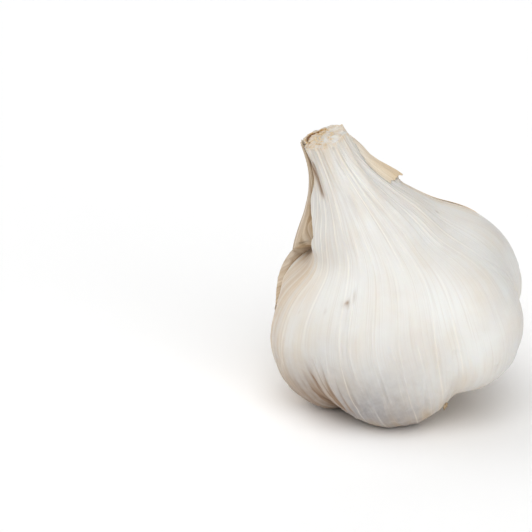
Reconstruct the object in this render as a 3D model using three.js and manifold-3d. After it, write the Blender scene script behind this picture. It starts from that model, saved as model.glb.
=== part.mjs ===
// A whole garlic bulb with its neck cut short, lying a little over on its cloves.
//
// Four pieces: the bulb (cloves under close-fitting skin, with the neck), the torn outer wrapper
// round its back, the dried inner sheaths rolled up in the cut neck, and the root plate with its
// trimmed roots. Millimetres. Each piece is shaped in the bulb's own frame, +Z from the root plate
// up the axis to the neck, azimuth 0 along +X, and is then laid over into the part's frame, where
// +Z is up, the bulb rests on Z = 0 and the origin is under the middle of its box.
import * as THREE from "three";
import { mergeVertices } from "three/addons/utils/BufferGeometryUtils.js";
import Module from "manifold-3d";

const wasm = await Module();
wasm.setup();

const DEG = Math.PI / 180;
const TURN = 2 * Math.PI;

// ---- Driving dimensions ----------------------------------------------------------------------

const HEIGHT = 74.4; // root plate level to the neck's cut
const LIE_OVER = 16 * DEG; // how far the axis leans from upright, towards -X
const REST_LEVEL = -0.75; // the surface it rests on, below the foot of its axis: flats on 3 cloves
const BOX_MIDDLE = { x: -3.9, y: 0.55 }; // middle of the laid bulb's box, from the foot of its axis

// Each clove is an ellipsoid: its azimuth, how far its middle is from the axis, the height of its
// middle, and its half sizes away from the axis, round it and along it.
const CLOVES = [
  { azimuth: 197.5, out: 16.4, up: 21.4, deep: 14.4, wide: 13, tall: 17.1 },
  { azimuth: 269, out: 15.7, up: 21.2, deep: 15, wide: 19.6, tall: 21.5 },
  { azimuth: 324, out: 21, up: 21.7, deep: 17.6, wide: 16.5, tall: 18.2 },
  { azimuth: 11.6, out: 18.8, up: 25.2, deep: 17.9, wide: 15.7, tall: 20 },
  { azimuth: 66, out: 16, up: 20.5, deep: 15, wide: 18, tall: 23 },
  { azimuth: 132, out: 14.5, up: 21.5, deep: 14, wide: 15.5, tall: 19.6 },
];
const HEART = { across: 20, up: 22, tall: 18 }; // what fills the middle, between the cloves

const NECK_RADIUS = 5.5; // at the cut
const FLARE = { level: 73, start: 4.5, rise: 0.5, power: 1.8 }; // how the neck widens downwards
const NECK_LEAN = { top: -2.5, foot: 4, from: 78, to: 40 }; // the neck's middle along X, by height
const TIP = { height: 0.7, azimuth: 33, width: 22 }; // the cut runs up to a point here

// How softly the skin bridges the clefts between cloves: close at the foot, taut at the shoulder.
const SKIN_SLACK = { foot: 0.9, shoulder: 3.5, height: 40 };
const WRAPPER_SLACK = 1; // the wrapper bridges the clefts more
const BELLY = { up: 24, share: 0.42 }; // the rays below this height fan out from one point

// The front sheet of skin lies over the rest between its two free edges, given by azimuth. Each
// runs from one azimuth at the neck to another further down.
const FRONT = {
  thick: 0.6,
  fadeFrom: 46,
  fadeTo: 30,
  left: { neck: 190, shoulder: 210, from: 66, to: 52 },
  right: { neck: 8, shoulder: 40, from: 58, to: 54 },
};
const FOLD = { inside: 5, width: 6, height: 0.8, from: 40, peak: 56, to: 72 }; // its raised left edge
const HOLLOW = { depth: 2.6, back: 130, full: 155, from: 36.5, to: 46, topFull: 64, top: 73 };
const SEAT = { depth: 0.75, from: 58, to: 66, right: 4 }; // where the wrapper lies on the neck
const RIBS = { count: 30, height: 0.22 };
const PLEATS = { count: 15, height: 0.15, from: 42, to: 58 };

const CUP = { radius: 4.2, depth: 3.2 }; // the open end of the neck
const SHEATH = { radius: 3.1, thick: 0.6, gap: 0.45, length: 2.7, turns: 1.75, aside: 0.7 };

const WRAPPER = {
  thick: 0.7,
  off: 0.55, // clear of the skin below it
  top: { back: 73.9, right: 70.5 },
  // Azimuth of its free edge on the left: at the neck, in the hollow, where it comes back against
  // the lowest clove, and at the foot.
  left: { neck: 184, hollow: 168, clove: 180, foot: 146 },
  right: { neck: 6, shoulder: -4 }, // and on the right, down to the tear
  tear: { share: 0.795, from: 0.31, to: 0.24 }, // the share of its width that is torn off short
  bottomShare: 0.3,
  pocket: { out: 1.5, azimuth: 172, width: 30, from: 30, full: 46, topFull: 54, top: 71 },
  bulge: { out: 1.7, azimuth: 19, width: 13, from: 50, full: 56, topFull: 66, top: 75 },
};

const PLATE = { radius: 7.6, top: 4.2, thick: 1.7, gap: 0.35 };
const ROOTS = { count: 44, radius: 0.55, shortest: 0.8, longest: 2.6, sunk: 0.8, sides: 5, seed: 7 };

const SKIN_MESH = { columns: 120, rows: 36 };
const WRAPPER_MESH = { shortColumns: 9, tearColumns: 11, longColumns: 27, rows: 24 };

const COLOURS = {
  whiteSkin: { color: 0xe9e4dc, roughness: 0.55, metalness: 0 },
  tanSkin: { color: 0xd8c5a4, roughness: 0.6, metalness: 0 },
  sheath: { color: 0xc9a878, roughness: 0.75, metalness: 0 },
  rootPlate: { color: 0xa58a66, roughness: 0.9, metalness: 0 },
};

// ---- Small tools -----------------------------------------------------------------------------

const clamp = (x, low, high) => Math.min(high, Math.max(low, x));

// 0 below from, 1 above to, and smooth between, in either direction.
function ramp(from, to, x) {
  const t = clamp((x - from) / (to - from), 0, 1);
  return t * t * (3 - 2 * t);
}

// 0 outside from .. top, 1 between full and topFull.
const plateau = ({ from, full, topFull, top }, x) => ramp(from, full, x) * ramp(top, topFull, x);

// The signed angle from b to a, in degrees, between -180 and 180.
const turnBetween = (a, b) => ((((a - b) % 360) + 540) % 360) - 180;

const bell = (x, width) => Math.exp(-((x / width) ** 2));

// The same scattered numbers from 0 to 1 every time.
function scatter(seed) {
  let state = seed;
  return () => {
    state = (state * 16807) % 2147483647;
    return state / 2147483647;
  };
}

// ---- The skin's form -------------------------------------------------------------------------

const neckMiddle = (z) =>
  NECK_LEAN.top + (NECK_LEAN.foot - NECK_LEAN.top) * ramp(NECK_LEAN.from, NECK_LEAN.to, z);

function neckRadius(z) {
  const below = Math.max(FLARE.level - z, 0) / FLARE.start;
  return (NECK_RADIUS + FLARE.rise * below ** FLARE.power) * ramp(24, 54, z);
}

// Roughly how far a point is outside an ellipsoid with its middle at the origin.
function outsideEllipsoid(x, y, z, a, b, c) {
  const scaled = Math.hypot(x / a, y / b, z / c);
  const slope = Math.hypot(x / a ** 2, y / b ** 2, z / c ** 2) + 1e-9;
  return (scaled * (scaled - 1)) / slope;
}

// How far a point is outside the skin that is drawn over the cloves, the heart and the neck.
function outsideSkin(x, y, z, looser = 0) {
  const parts = CLOVES.map((clove) => {
    const c = Math.cos(clove.azimuth * DEG);
    const s = Math.sin(clove.azimuth * DEG);
    const along = x * c + y * s - clove.out;
    const across = y * c - x * s;
    return outsideEllipsoid(along, across, z - clove.up, clove.deep, clove.wide, clove.tall);
  });
  const heart = Math.hypot(x / HEART.across, y / HEART.across, (z - HEART.up) / HEART.tall) - 1;
  parts.push(heart * HEART.tall);
  const flareSlope = 0.2 * clamp((FLARE.level - z) / FLARE.start, 0.3, 8) ** 0.8;
  const offNeck = Math.hypot(x - neckMiddle(z), y) - neckRadius(z);
  parts.push(offNeck / Math.hypot(1, flareSlope));

  const shoulder = ramp(0, SKIN_SLACK.height, z);
  const slack = SKIN_SLACK.foot + (SKIN_SLACK.shoulder - SKIN_SLACK.foot) * shoulder + looser;
  const nearest = Math.min(...parts);
  const shares = parts.map((d) => Math.exp((nearest - d) / slack));
  return nearest - slack * Math.log(shares.reduce((sum, share) => sum + share, 0));
}

// The skin is walked by rays from the axis: share 0 points down at the root plate, BELLY.share is
// level through the belly, and share 1 is level at the neck's cut.
function rayAt(share) {
  const low = clamp(1 - share / BELLY.share, 0, 1);
  const high = clamp((share - BELLY.share) / (1 - BELLY.share), 0, 1);
  const z = BELLY.up + (HEIGHT - BELLY.up) * high;
  return { tilt: -84 * DEG * low ** 1.15, z, x: neckMiddle(z) * ramp(24, 44, z) };
}

// Where the ray leaves the skin.
function skinRay(azimuth, share, looser) {
  const ray = rayAt(share);
  const direction = new THREE.Vector3(
    Math.cos(azimuth * DEG) * Math.cos(ray.tilt),
    Math.sin(azimuth * DEG) * Math.cos(ray.tilt),
    Math.sin(ray.tilt),
  );
  let inside = 0.5;
  let outside = 60;
  for (let step = 0; step < 30; step++) {
    const middle = (inside + outside) / 2;
    const p = direction.clone().multiplyScalar(middle);
    if (outsideSkin(ray.x + p.x, p.y, ray.z + p.z, looser) < 0) inside = middle;
    else outside = middle;
  }
  return { origin: new THREE.Vector3(ray.x, 0, ray.z), direction, reach: inside };
}

const RIB_HEIGHTS = (() => {
  const next = scatter(11);
  return Array.from({ length: RIBS.count }, () => 0.4 + 0.6 * next());
})();

const edgeOfFront = ({ neck, shoulder, from, to }, z) => neck + (shoulder - neck) * ramp(from, to, z);

// How far the front sheet with its fold, the hollow, the wrapper's seat, the ribs and the pleats
// raise the skin.
function relief(azimuth, z, column) {
  const left = edgeOfFront(FRONT.left, z);
  const right = edgeOfFront(FRONT.right, z);
  const pastRight = turnBetween(azimuth, right); // negative on the front sheet
  const pastLeft = turnBetween(azimuth, left); // positive on the front sheet
  const onSheet = azimuth < 120 ? ramp(2, -4, pastRight) : ramp(-3, 2, pastLeft);
  const sheet = FRONT.thick * onSheet * ramp(FRONT.fadeTo, FRONT.fadeFrom, z);

  const foldUp = ramp(FOLD.from, FOLD.peak, z) * ramp(FOLD.to, FOLD.peak, z);
  const fold = FOLD.height * bell(pastLeft - FOLD.inside, FOLD.width) * foldUp;

  const inHollow = ramp(1, -5, pastLeft) * ramp(HOLLOW.back, HOLLOW.full, azimuth);
  const slant = 0.12 * Math.max(azimuth - 185, 0);
  const low = ramp(HOLLOW.from + slant, HOLLOW.to + slant, z);
  const hollow = HOLLOW.depth * inHollow * low * ramp(HOLLOW.top, HOLLOW.topFull, z);
  const underWrapper = ramp(1, -5, pastLeft) * ramp(SEAT.right, SEAT.right + 6, azimuth);
  const seat = SEAT.depth * underWrapper * ramp(SEAT.from, SEAT.to, z);

  const columnsPerRib = SKIN_MESH.columns / RIBS.count;
  const onRib = column % columnsPerRib === 0;
  const rib = onRib ? RIBS.height * RIB_HEIGHTS[column / columnsPerRib] : 0;
  const pleat = PLEATS.height * Math.cos(PLEATS.count * azimuth * DEG);
  return sheet + fold - hollow - seat + rib + pleat * ramp(PLEATS.from, PLEATS.to, z);
}

function skinPoint(column, share) {
  const azimuth = (360 * column) / SKIN_MESH.columns;
  const { origin, direction, reach } = skinRay(azimuth, share, 0);
  const lift = relief(azimuth, origin.z + direction.z * reach, column);
  const point = origin.addScaledVector(direction, reach + lift);
  if (share === 1) point.z += TIP.height * bell(turnBetween(azimuth, TIP.azimuth), TIP.width);
  return point;
}

// ---- Closed meshes and solids ----------------------------------------------------------------

// A closed surface from rings of points, each ring one turn round, with a point at either end.
function surfaceOfRings(rings, first, last) {
  const around = rings[0].length;
  const points = [first, ...rings.flat(), last];
  const ringStart = (r) => 1 + r * around;
  const index = [];
  for (let i = 0; i < around; i++) {
    const j = (i + 1) % around;
    index.push(0, ringStart(0) + j, ringStart(0) + i);
    for (let r = 0; r + 1 < rings.length; r++) {
      const [a, b] = [ringStart(r) + i, ringStart(r) + j];
      const [c, d] = [ringStart(r + 1) + j, ringStart(r + 1) + i];
      index.push(a, b, c, a, c, d);
    }
    const end = ringStart(rings.length - 1);
    index.push(end + i, end + j, points.length - 1);
  }
  return meshOf(points, index);
}

// A sheet with an inner and an outer face, from two grids of points with the same rows and columns.
function surfaceOfSheet(inner, outer) {
  const rows = inner.length;
  const columns = inner[0].length;
  const points = [...inner.flat(), ...outer.flat()];
  const at = (face, r, c) => face * rows * columns + r * columns + c;
  const index = [];
  const quad = (a, b, c, d) => index.push(a, b, c, a, c, d);
  for (let r = 0; r + 1 < rows; r++) {
    for (let c = 0; c + 1 < columns; c++) {
      quad(at(1, r, c), at(1, r, c + 1), at(1, r + 1, c + 1), at(1, r + 1, c));
      quad(at(0, r, c), at(0, r + 1, c), at(0, r + 1, c + 1), at(0, r, c + 1));
    }
    quad(at(0, r, 0), at(1, r, 0), at(1, r + 1, 0), at(0, r + 1, 0));
    const c = columns - 1;
    quad(at(1, r, c), at(0, r, c), at(0, r + 1, c), at(1, r + 1, c));
  }
  for (let c = 0; c + 1 < columns; c++) {
    quad(at(0, 0, c), at(0, 0, c + 1), at(1, 0, c + 1), at(1, 0, c));
    const r = rows - 1;
    quad(at(1, r, c), at(1, r, c + 1), at(0, r, c + 1), at(0, r, c));
  }
  return meshOf(points, index);
}

function meshOf(points, index) {
  const geometry = new THREE.BufferGeometry().setFromPoints(points);
  geometry.setIndex(index);
  return geometry;
}

function toSolid(geometry) {
  const bare = geometry.clone();
  bare.deleteAttribute("normal");
  bare.deleteAttribute("uv");
  const merged = mergeVertices(bare, 1e-4);
  return new wasm.Manifold(
    new wasm.Mesh({
      numProp: 3,
      vertProperties: new Float32Array(merged.attributes.position.array),
      triVerts: new Uint32Array(merged.index.array),
    }),
  );
}

function toGeometry(solid) {
  const mesh = solid.getMesh();
  const geometry = new THREE.BufferGeometry();
  geometry.setAttribute("position", new THREE.BufferAttribute(mesh.vertProperties, 3));
  geometry.setIndex(new THREE.BufferAttribute(mesh.triVerts, 1));
  return geometry;
}

// From the bulb's own frame to the part's frame, apart from the height.
const LAY = new THREE.Matrix4()
  .makeTranslation(-BOX_MIDDLE.x, -BOX_MIDDLE.y, 0)
  .multiply(new THREE.Matrix4().makeRotationY(-LIE_OVER));

// ---- The pieces ------------------------------------------------------------------------------

function bulbInOwnFrame() {
  const { columns, rows } = SKIN_MESH;
  const ring = (make) => Array.from({ length: columns }, (_, column) => make(column));
  const rings = [];
  for (let row = 0; row <= rows; row++) rings.push(ring((column) => skinPoint(column, row / rows)));
  const middle = neckMiddle(HEIGHT);
  const cupRing = (z) =>
    ring((column) => {
      const a = (TURN * column) / columns;
      return new THREE.Vector3(middle + CUP.radius * Math.cos(a), CUP.radius * Math.sin(a), z);
    });
  rings.push(cupRing(HEIGHT), cupRing(HEIGHT - CUP.depth));
  const rootEnd = new THREE.Vector3(0, 0, PLATE.top + 1);
  const cupEnd = new THREE.Vector3(middle, 0, HEIGHT - CUP.depth);
  const whole = toSolid(surfaceOfRings(rings, rootEnd, cupEnd));

  const seatRadius = PLATE.radius + PLATE.gap;
  const seat = new THREE.CylinderGeometry(seatRadius, seatRadius, 20, 40);
  seat.rotateX(Math.PI / 2).translate(0, 0, PLATE.top + PLATE.gap - 10);
  return whole.subtract(toSolid(seat));
}

// The azimuths of the wrapper's free edges at a height.
function wrapperEdges(z) {
  const { left, right } = WRAPPER;
  const leftEdge =
    left.neck +
    (left.hollow - left.neck) * ramp(70, 46, z) +
    (left.clove - left.hollow) * ramp(44, 35, z) +
    (left.foot - left.clove) * ramp(34, 20, z);
  return { right: right.neck + (right.shoulder - right.neck) * ramp(64, 57, z), left: leftEdge };
}

// The shares between which a strip of the wrapper runs, for how far across the wrapper it is.
function wrapperSpan(across) {
  const { bottomShare, tear, top } = WRAPPER;
  const ragged = 0.016 * Math.sin(across * 29) + 0.01 * Math.sin(across * 67);
  const torn = ramp(tear.from, tear.to, across);
  const topLevel = top.right + (top.back - top.right) * ramp(0, 0.25, across);
  return {
    bottom: bottomShare + (tear.share - bottomShare) * torn + ragged * (1 - 0.6 * torn),
    top: 1 - ((HEIGHT - topLevel) / (HEIGHT - BELLY.up)) * (1 - BELLY.share),
  };
}

// How far the wrapper's inner face stands off the skin's form.
function standOff(azimuth, z) {
  const { pocket, bulge } = WRAPPER;
  const overHollow = pocket.out * bell(turnBetween(azimuth, pocket.azimuth), pocket.width);
  const overFlare = bulge.out * bell(turnBetween(azimuth, bulge.azimuth), bulge.width);
  const onSheet = FRONT.thick * ramp(14, 2, azimuth);
  const atNeck = SEAT.depth * ramp(SEAT.from + 2, SEAT.to + 2, z) * ramp(SEAT.right, 12, azimuth);
  const raised = overHollow * plateau(pocket, z) + overFlare * plateau(bulge, z);
  return WRAPPER.off + onSheet - atNeck + raised;
}

// How far across the wrapper each column of its mesh is: they crowd together along the tear.
function wrapperColumns() {
  const { shortColumns, tearColumns, longColumns } = WRAPPER_MESH;
  const { from, to } = WRAPPER.tear;
  const evenly = (start, end, count) =>
    Array.from({ length: count }, (_, i) => start + ((end - start) * i) / count);
  return [
    ...evenly(0, to, shortColumns),
    ...evenly(to, from, tearColumns),
    ...evenly(from, 1, longColumns),
    1,
  ];
}

function wrapperGeometry() {
  const { rows } = WRAPPER_MESH;
  const faces = [[], []];
  for (let r = 0; r <= rows; r++) {
    const lines = [[], []];
    for (const across of wrapperColumns()) {
      const span = wrapperSpan(across);
      const share = span.bottom + (span.top - span.bottom) * (r / rows);
      const level = skinRay(90, share, WRAPPER_SLACK);
      const edges = wrapperEdges(level.origin.z + level.direction.z * level.reach);
      const azimuth = edges.right + (edges.left - edges.right) * across;
      const { origin, direction, reach } = skinRay(azimuth, share, WRAPPER_SLACK);
      const inner = reach + standOff(azimuth, origin.z + direction.z * reach);
      lines[0].push(origin.clone().addScaledVector(direction, inner));
      lines[1].push(origin.clone().addScaledVector(direction, inner + WRAPPER.thick));
    }
    faces[0].push(lines[0]);
    faces[1].push(lines[1]);
  }
  return surfaceOfSheet(faces[0], faces[1]);
}

// The inner leaf sheaths, dried and rolled on themselves: one band along a spiral.
function sheathGeometry() {
  const steps = 54;
  const pitch = SHEATH.thick + SHEATH.gap;
  const start = SHEATH.radius - SHEATH.thick - SHEATH.turns * pitch;
  const edge = (offset) =>
    Array.from({ length: steps + 1 }, (_, i) => {
      const turns = (SHEATH.turns * i) / steps;
      const radius = start + pitch * turns + offset;
      const a = TURN * turns;
      return new THREE.Vector2(radius * Math.cos(a), radius * Math.sin(a));
    });
  const outline = new THREE.Shape([...edge(SHEATH.thick), ...edge(0).reverse()]);
  const roll = new THREE.ExtrudeGeometry(outline, { depth: SHEATH.length, bevelEnabled: false });
  const floor = HEIGHT - CUP.depth + 0.3;
  return roll.translate(neckMiddle(HEIGHT) + SHEATH.aside, 0, floor);
}

function rootPlateGeometry() {
  const { radius, top, thick } = PLATE;
  const under = top - thick;
  const profile = [
    new THREE.Vector2(0, 0.4),
    new THREE.Vector2(radius * 0.6, 0.2),
    new THREE.Vector2(radius * 0.92, 0.45),
    new THREE.Vector2(radius, thick * 0.6),
    new THREE.Vector2(radius * 0.96, thick),
    new THREE.Vector2(0, thick),
  ];
  const plate = new THREE.LatheGeometry(profile, 36);
  plate.rotateX(Math.PI / 2).translate(0, 0, top - thick);
  let solid = toSolid(plate);
  const next = scatter(ROOTS.seed);
  const golden = 137.5 * DEG;
  for (let i = 0; i < ROOTS.count; i++) {
    const out = radius * 0.88 * Math.sqrt((i + 0.5) / ROOTS.count);
    const a = i * golden + 0.3 * next();
    const clear = Math.tan(LIE_OVER) * out * Math.cos(a) + under - REST_LEVEL / Math.cos(LIE_OVER);
    const wanted = ROOTS.shortest + (ROOTS.longest - ROOTS.shortest) * next();
    const length = Math.min(wanted, clear - 0.6);
    const root = new THREE.CylinderGeometry(
      ROOTS.radius,
      ROOTS.radius * 0.6,
      length + ROOTS.sunk,
      ROOTS.sides,
    );
    root.translate(0, -(length + ROOTS.sunk) / 2, 0);
    root.rotateX(Math.PI / 2);
    root.rotateZ(TURN * next());
    const splay = new THREE.Vector3(0.35 * (next() - 0.5), 0.35 * (next() - 0.5), 0);
    root.rotateX(splay.x + 0.25 * (out / radius) * Math.sin(a));
    root.rotateY(splay.y - 0.25 * (out / radius) * Math.cos(a));
    root.translate(out * Math.cos(a), out * Math.sin(a), under + 0.3 + ROOTS.sunk);
    solid = solid.add(toSolid(root));
  }
  return toGeometry(solid);
}

// ---- The assembly ----------------------------------------------------------------------------

function piece(name, geometry, look) {
  const flat = geometry.index ? geometry.toNonIndexed() : geometry;
  flat.computeVertexNormals();
  const mesh = new THREE.Mesh(flat, new THREE.MeshStandardMaterial(look));
  mesh.name = name;
  return mesh;
}

// What is below the rest level is cut away, which leaves a flat spot on each of the lowest cloves.
function restingBulb() {
  const slab = new THREE.BoxGeometry(200, 200, 20).translate(0, 0, REST_LEVEL - 10);
  const laid = toGeometry(bulbInOwnFrame()).applyMatrix4(LAY);
  return toGeometry(toSolid(laid).subtract(toSolid(slab)));
}

const lay = (geometry) => geometry.applyMatrix4(LAY);
const drop = (geometry) => geometry.translate(0, 0, -REST_LEVEL);

const garlic = new THREE.Group();
garlic.add(
  piece("bulb", drop(restingBulb()), COLOURS.whiteSkin),
  piece("outer_wrapper", drop(lay(wrapperGeometry())), COLOURS.tanSkin),
  piece("neck_sheaths", drop(lay(sheathGeometry())), COLOURS.sheath),
  piece("root_plate", drop(lay(rootPlateGeometry())), COLOURS.rootPlate),
);

export default garlic;
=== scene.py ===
"""Dresses the garlic bulb: papery skins with veins, a dried neck, a root plate and its roots.

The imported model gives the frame. The forms below are worked out in the bulb's own frame, in
millimetres and degrees: +Z runs up the axis from below the root plate to the neck's cut, azimuth 0
is the right, 90 the back, 180 the left and 270 the front. A share says how far up a skin a place
is. BulbLay then leans the bulb over and sets it on the floor, in metres.
"""

from __future__ import annotations

import logging
import math
from collections.abc import Callable
from dataclasses import dataclass, fields, replace
from enum import Enum
from typing import Any

import bpy
import numpy as np
from mathutils import Matrix, Vector

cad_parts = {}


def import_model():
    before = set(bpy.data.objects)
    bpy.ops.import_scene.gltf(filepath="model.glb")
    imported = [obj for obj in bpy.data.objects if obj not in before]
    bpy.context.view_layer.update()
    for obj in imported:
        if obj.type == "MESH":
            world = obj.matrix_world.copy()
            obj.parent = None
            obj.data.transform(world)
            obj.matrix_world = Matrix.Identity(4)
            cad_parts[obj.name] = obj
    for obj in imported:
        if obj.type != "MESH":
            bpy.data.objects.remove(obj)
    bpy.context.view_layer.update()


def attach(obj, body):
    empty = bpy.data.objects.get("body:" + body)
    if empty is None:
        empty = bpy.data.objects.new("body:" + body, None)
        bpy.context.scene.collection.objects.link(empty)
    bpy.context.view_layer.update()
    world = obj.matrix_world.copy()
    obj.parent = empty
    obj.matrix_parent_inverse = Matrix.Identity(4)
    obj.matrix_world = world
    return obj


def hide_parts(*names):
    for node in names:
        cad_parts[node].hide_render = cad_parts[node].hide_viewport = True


log = logging.getLogger("garlic_bulb")

Array = np.ndarray
Colour = tuple[float, float, float, float]
Faces = list[tuple[int, ...]]
Table = tuple[tuple[float, ...], tuple[float, ...]]
Piece = bpy.types.Object
Material = bpy.types.Material
MM = 0.001
FULL_TURN = 6.2832
SHARE_LENGTH = 105.0  # millimetres of skin for a share of 1
FLOW_UNIT = 30.0  # millimetres up the bulb for 1 in the flow attribute
BODY = "root"


# ---- Numbers ----


def ramp(start: Array | float, end: Array | float, x: Array | float) -> Array:
    """Rises smoothly from 0 at start to 1 at end, which may be the lower of the two."""
    t = np.clip((np.asarray(x) - start) / (end - start), 0.0, 1.0)
    return t * t * (3.0 - 2.0 * t)


def window(low: float, full: float, fall: float, gone: float, x: Array | float) -> Array:
    """Rises from 0 at low to 1 at full, stays there, and falls from 1 at fall to 0 at gone."""
    return ramp(low, full, x) * ramp(gone, fall, x)


def eased(at: Array, table: Table) -> Array:
    """A table's value at each place, with its corners rounded off."""
    return np.mean([np.interp(at + aside, *table) for aside in (-1.6, -0.8, 0.0, 0.8, 1.6)], axis=0)


def bell(x: Array | float, width: Array | float) -> Array:
    """1 at x = 0 and nearly 0 two widths away."""
    return np.exp(-((np.asarray(x) / width) ** 2))


def turn_between(a: Array | float, b: Array | float) -> Array:
    """The signed angle from b to a in degrees, between -180 and 180."""
    return (((np.asarray(a) - b) % 360.0) + 540.0) % 360.0 - 180.0


def facing(azimuth: Array, middle: float, width: float) -> Array:
    """1 at one azimuth and nearly 0 two widths to either side of it."""
    return bell(turn_between(azimuth, middle), width)


def waved(x: Array, waves: tuple[tuple[float, float, float], ...]) -> Array:
    """The sum of sine waves, each with its height, its pace and its start."""
    return sum(height * np.sin(x * pace + start) for height, pace, start in waves)


def polar(turn: Array, far: Array, z: Array, x: float = 0.0, y: float = 0.0) -> Array:
    """Places at a distance from a middle x and y, in the direction of a turn in radians."""
    return np.stack(np.broadcast_arrays(x + far * np.cos(turn), y + far * np.sin(turn), z), -1)


def srgb(red: int, green: int, blue: int) -> Colour:
    """The linear colour of three screen values from 0 to 255."""
    parts = [value / 255.0 for value in (red, green, blue)]
    return (*(p / 12.92 if p <= 0.04045 else ((p + 0.055) / 1.055) ** 2.4 for p in parts), 1.0)


@dataclass(frozen=True)
class Ripple:
    """A seeded smooth unevenness that closes on itself round the bulb.

    around holds the fewest and the most waves in one turn, and along the shortest and the longest
    wave up the bulb in millimetres.
    """

    seed: int
    around: tuple[int, int]
    along: tuple[float, float]
    waves: int = 20

    def at(self, azimuth: Array | float, z: Array | float) -> Array:
        """Looks the unevenness up.

        Args:
            azimuth: degrees round the axis.
            z: height in millimetres, of a shape that fits azimuth's.

        Returns:
            Values round 0, seldom beyond 2 either way.
        """
        rng = np.random.default_rng(self.seed)
        angle, z = np.radians(np.asarray(azimuth, dtype=float)), np.asarray(z)
        total = np.zeros(np.broadcast(angle, z).shape)
        for _ in range(self.waves):
            turns = int(rng.integers(self.around[0], self.around[1] + 1))
            climb = 2.0 * math.pi / rng.uniform(*self.along) * rng.choice([-1.0, 1.0])
            total = total + np.sin(turns * angle + climb * z + rng.uniform(0.0, FULL_TURN))
        return total / math.sqrt(self.waves / 2.0)


# ---- Node trees as expressions ----


def operator(operation: str, swapped: bool = False) -> Callable[[Value, Any], Value]:
    """Makes one of Python's operators on values.

    Args:
        operation: what its Math node does.
        swapped: whether the value is the node's second input.

    Returns:
        The method.
    """

    def apply(self: Value, other: Any) -> Value:
        """The Math node's result."""
        return self.graph.math(operation, *((other, self) if swapped else (self, other)))

    return apply


class Value:
    """A node's output. Python's operators on it add Math nodes."""

    __add__ = __radd__ = operator("ADD")
    __sub__, __rsub__ = operator("SUBTRACT"), operator("SUBTRACT", swapped=True)
    __mul__ = __rmul__ = operator("MULTIPLY")
    __truediv__, __rtruediv__ = operator("DIVIDE"), operator("DIVIDE", swapped=True)
    at_least, at_most = operator("MAXIMUM"), operator("MINIMUM")

    def __init__(self, graph: Graph, socket: bpy.types.NodeSocket) -> None:
        """Wraps one output socket of the graph."""
        self.graph, self.socket = graph, socket

    def __neg__(self) -> Value:
        """The value with its sign changed."""
        return self * -1.0

    def math(self, operation: str, *others: Any) -> Value:
        """The result of one Math node with this value as its first input."""
        return self.graph.math(operation, self, *others)

    def other(self, key: int | str) -> Value:
        """Another output of the same node."""
        return Value(self.graph, Graph.find(self.socket.node.outputs, key))

    def bell(self, width: Any) -> Value:
        """1 where the value is 0, nearly 0 two widths away."""
        scaled = self / width
        return (-(scaled * scaled)).math("EXPONENT")

    def smooth(self, low: float, high: float) -> Value:
        """Rises smoothly from 0 at low to 1 at high."""
        inputs = {"Value": self, "From Min": low, "From Max": high}
        return self.graph.add("ShaderNodeMapRange", inputs, interpolation_type="SMOOTHSTEP")


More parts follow.
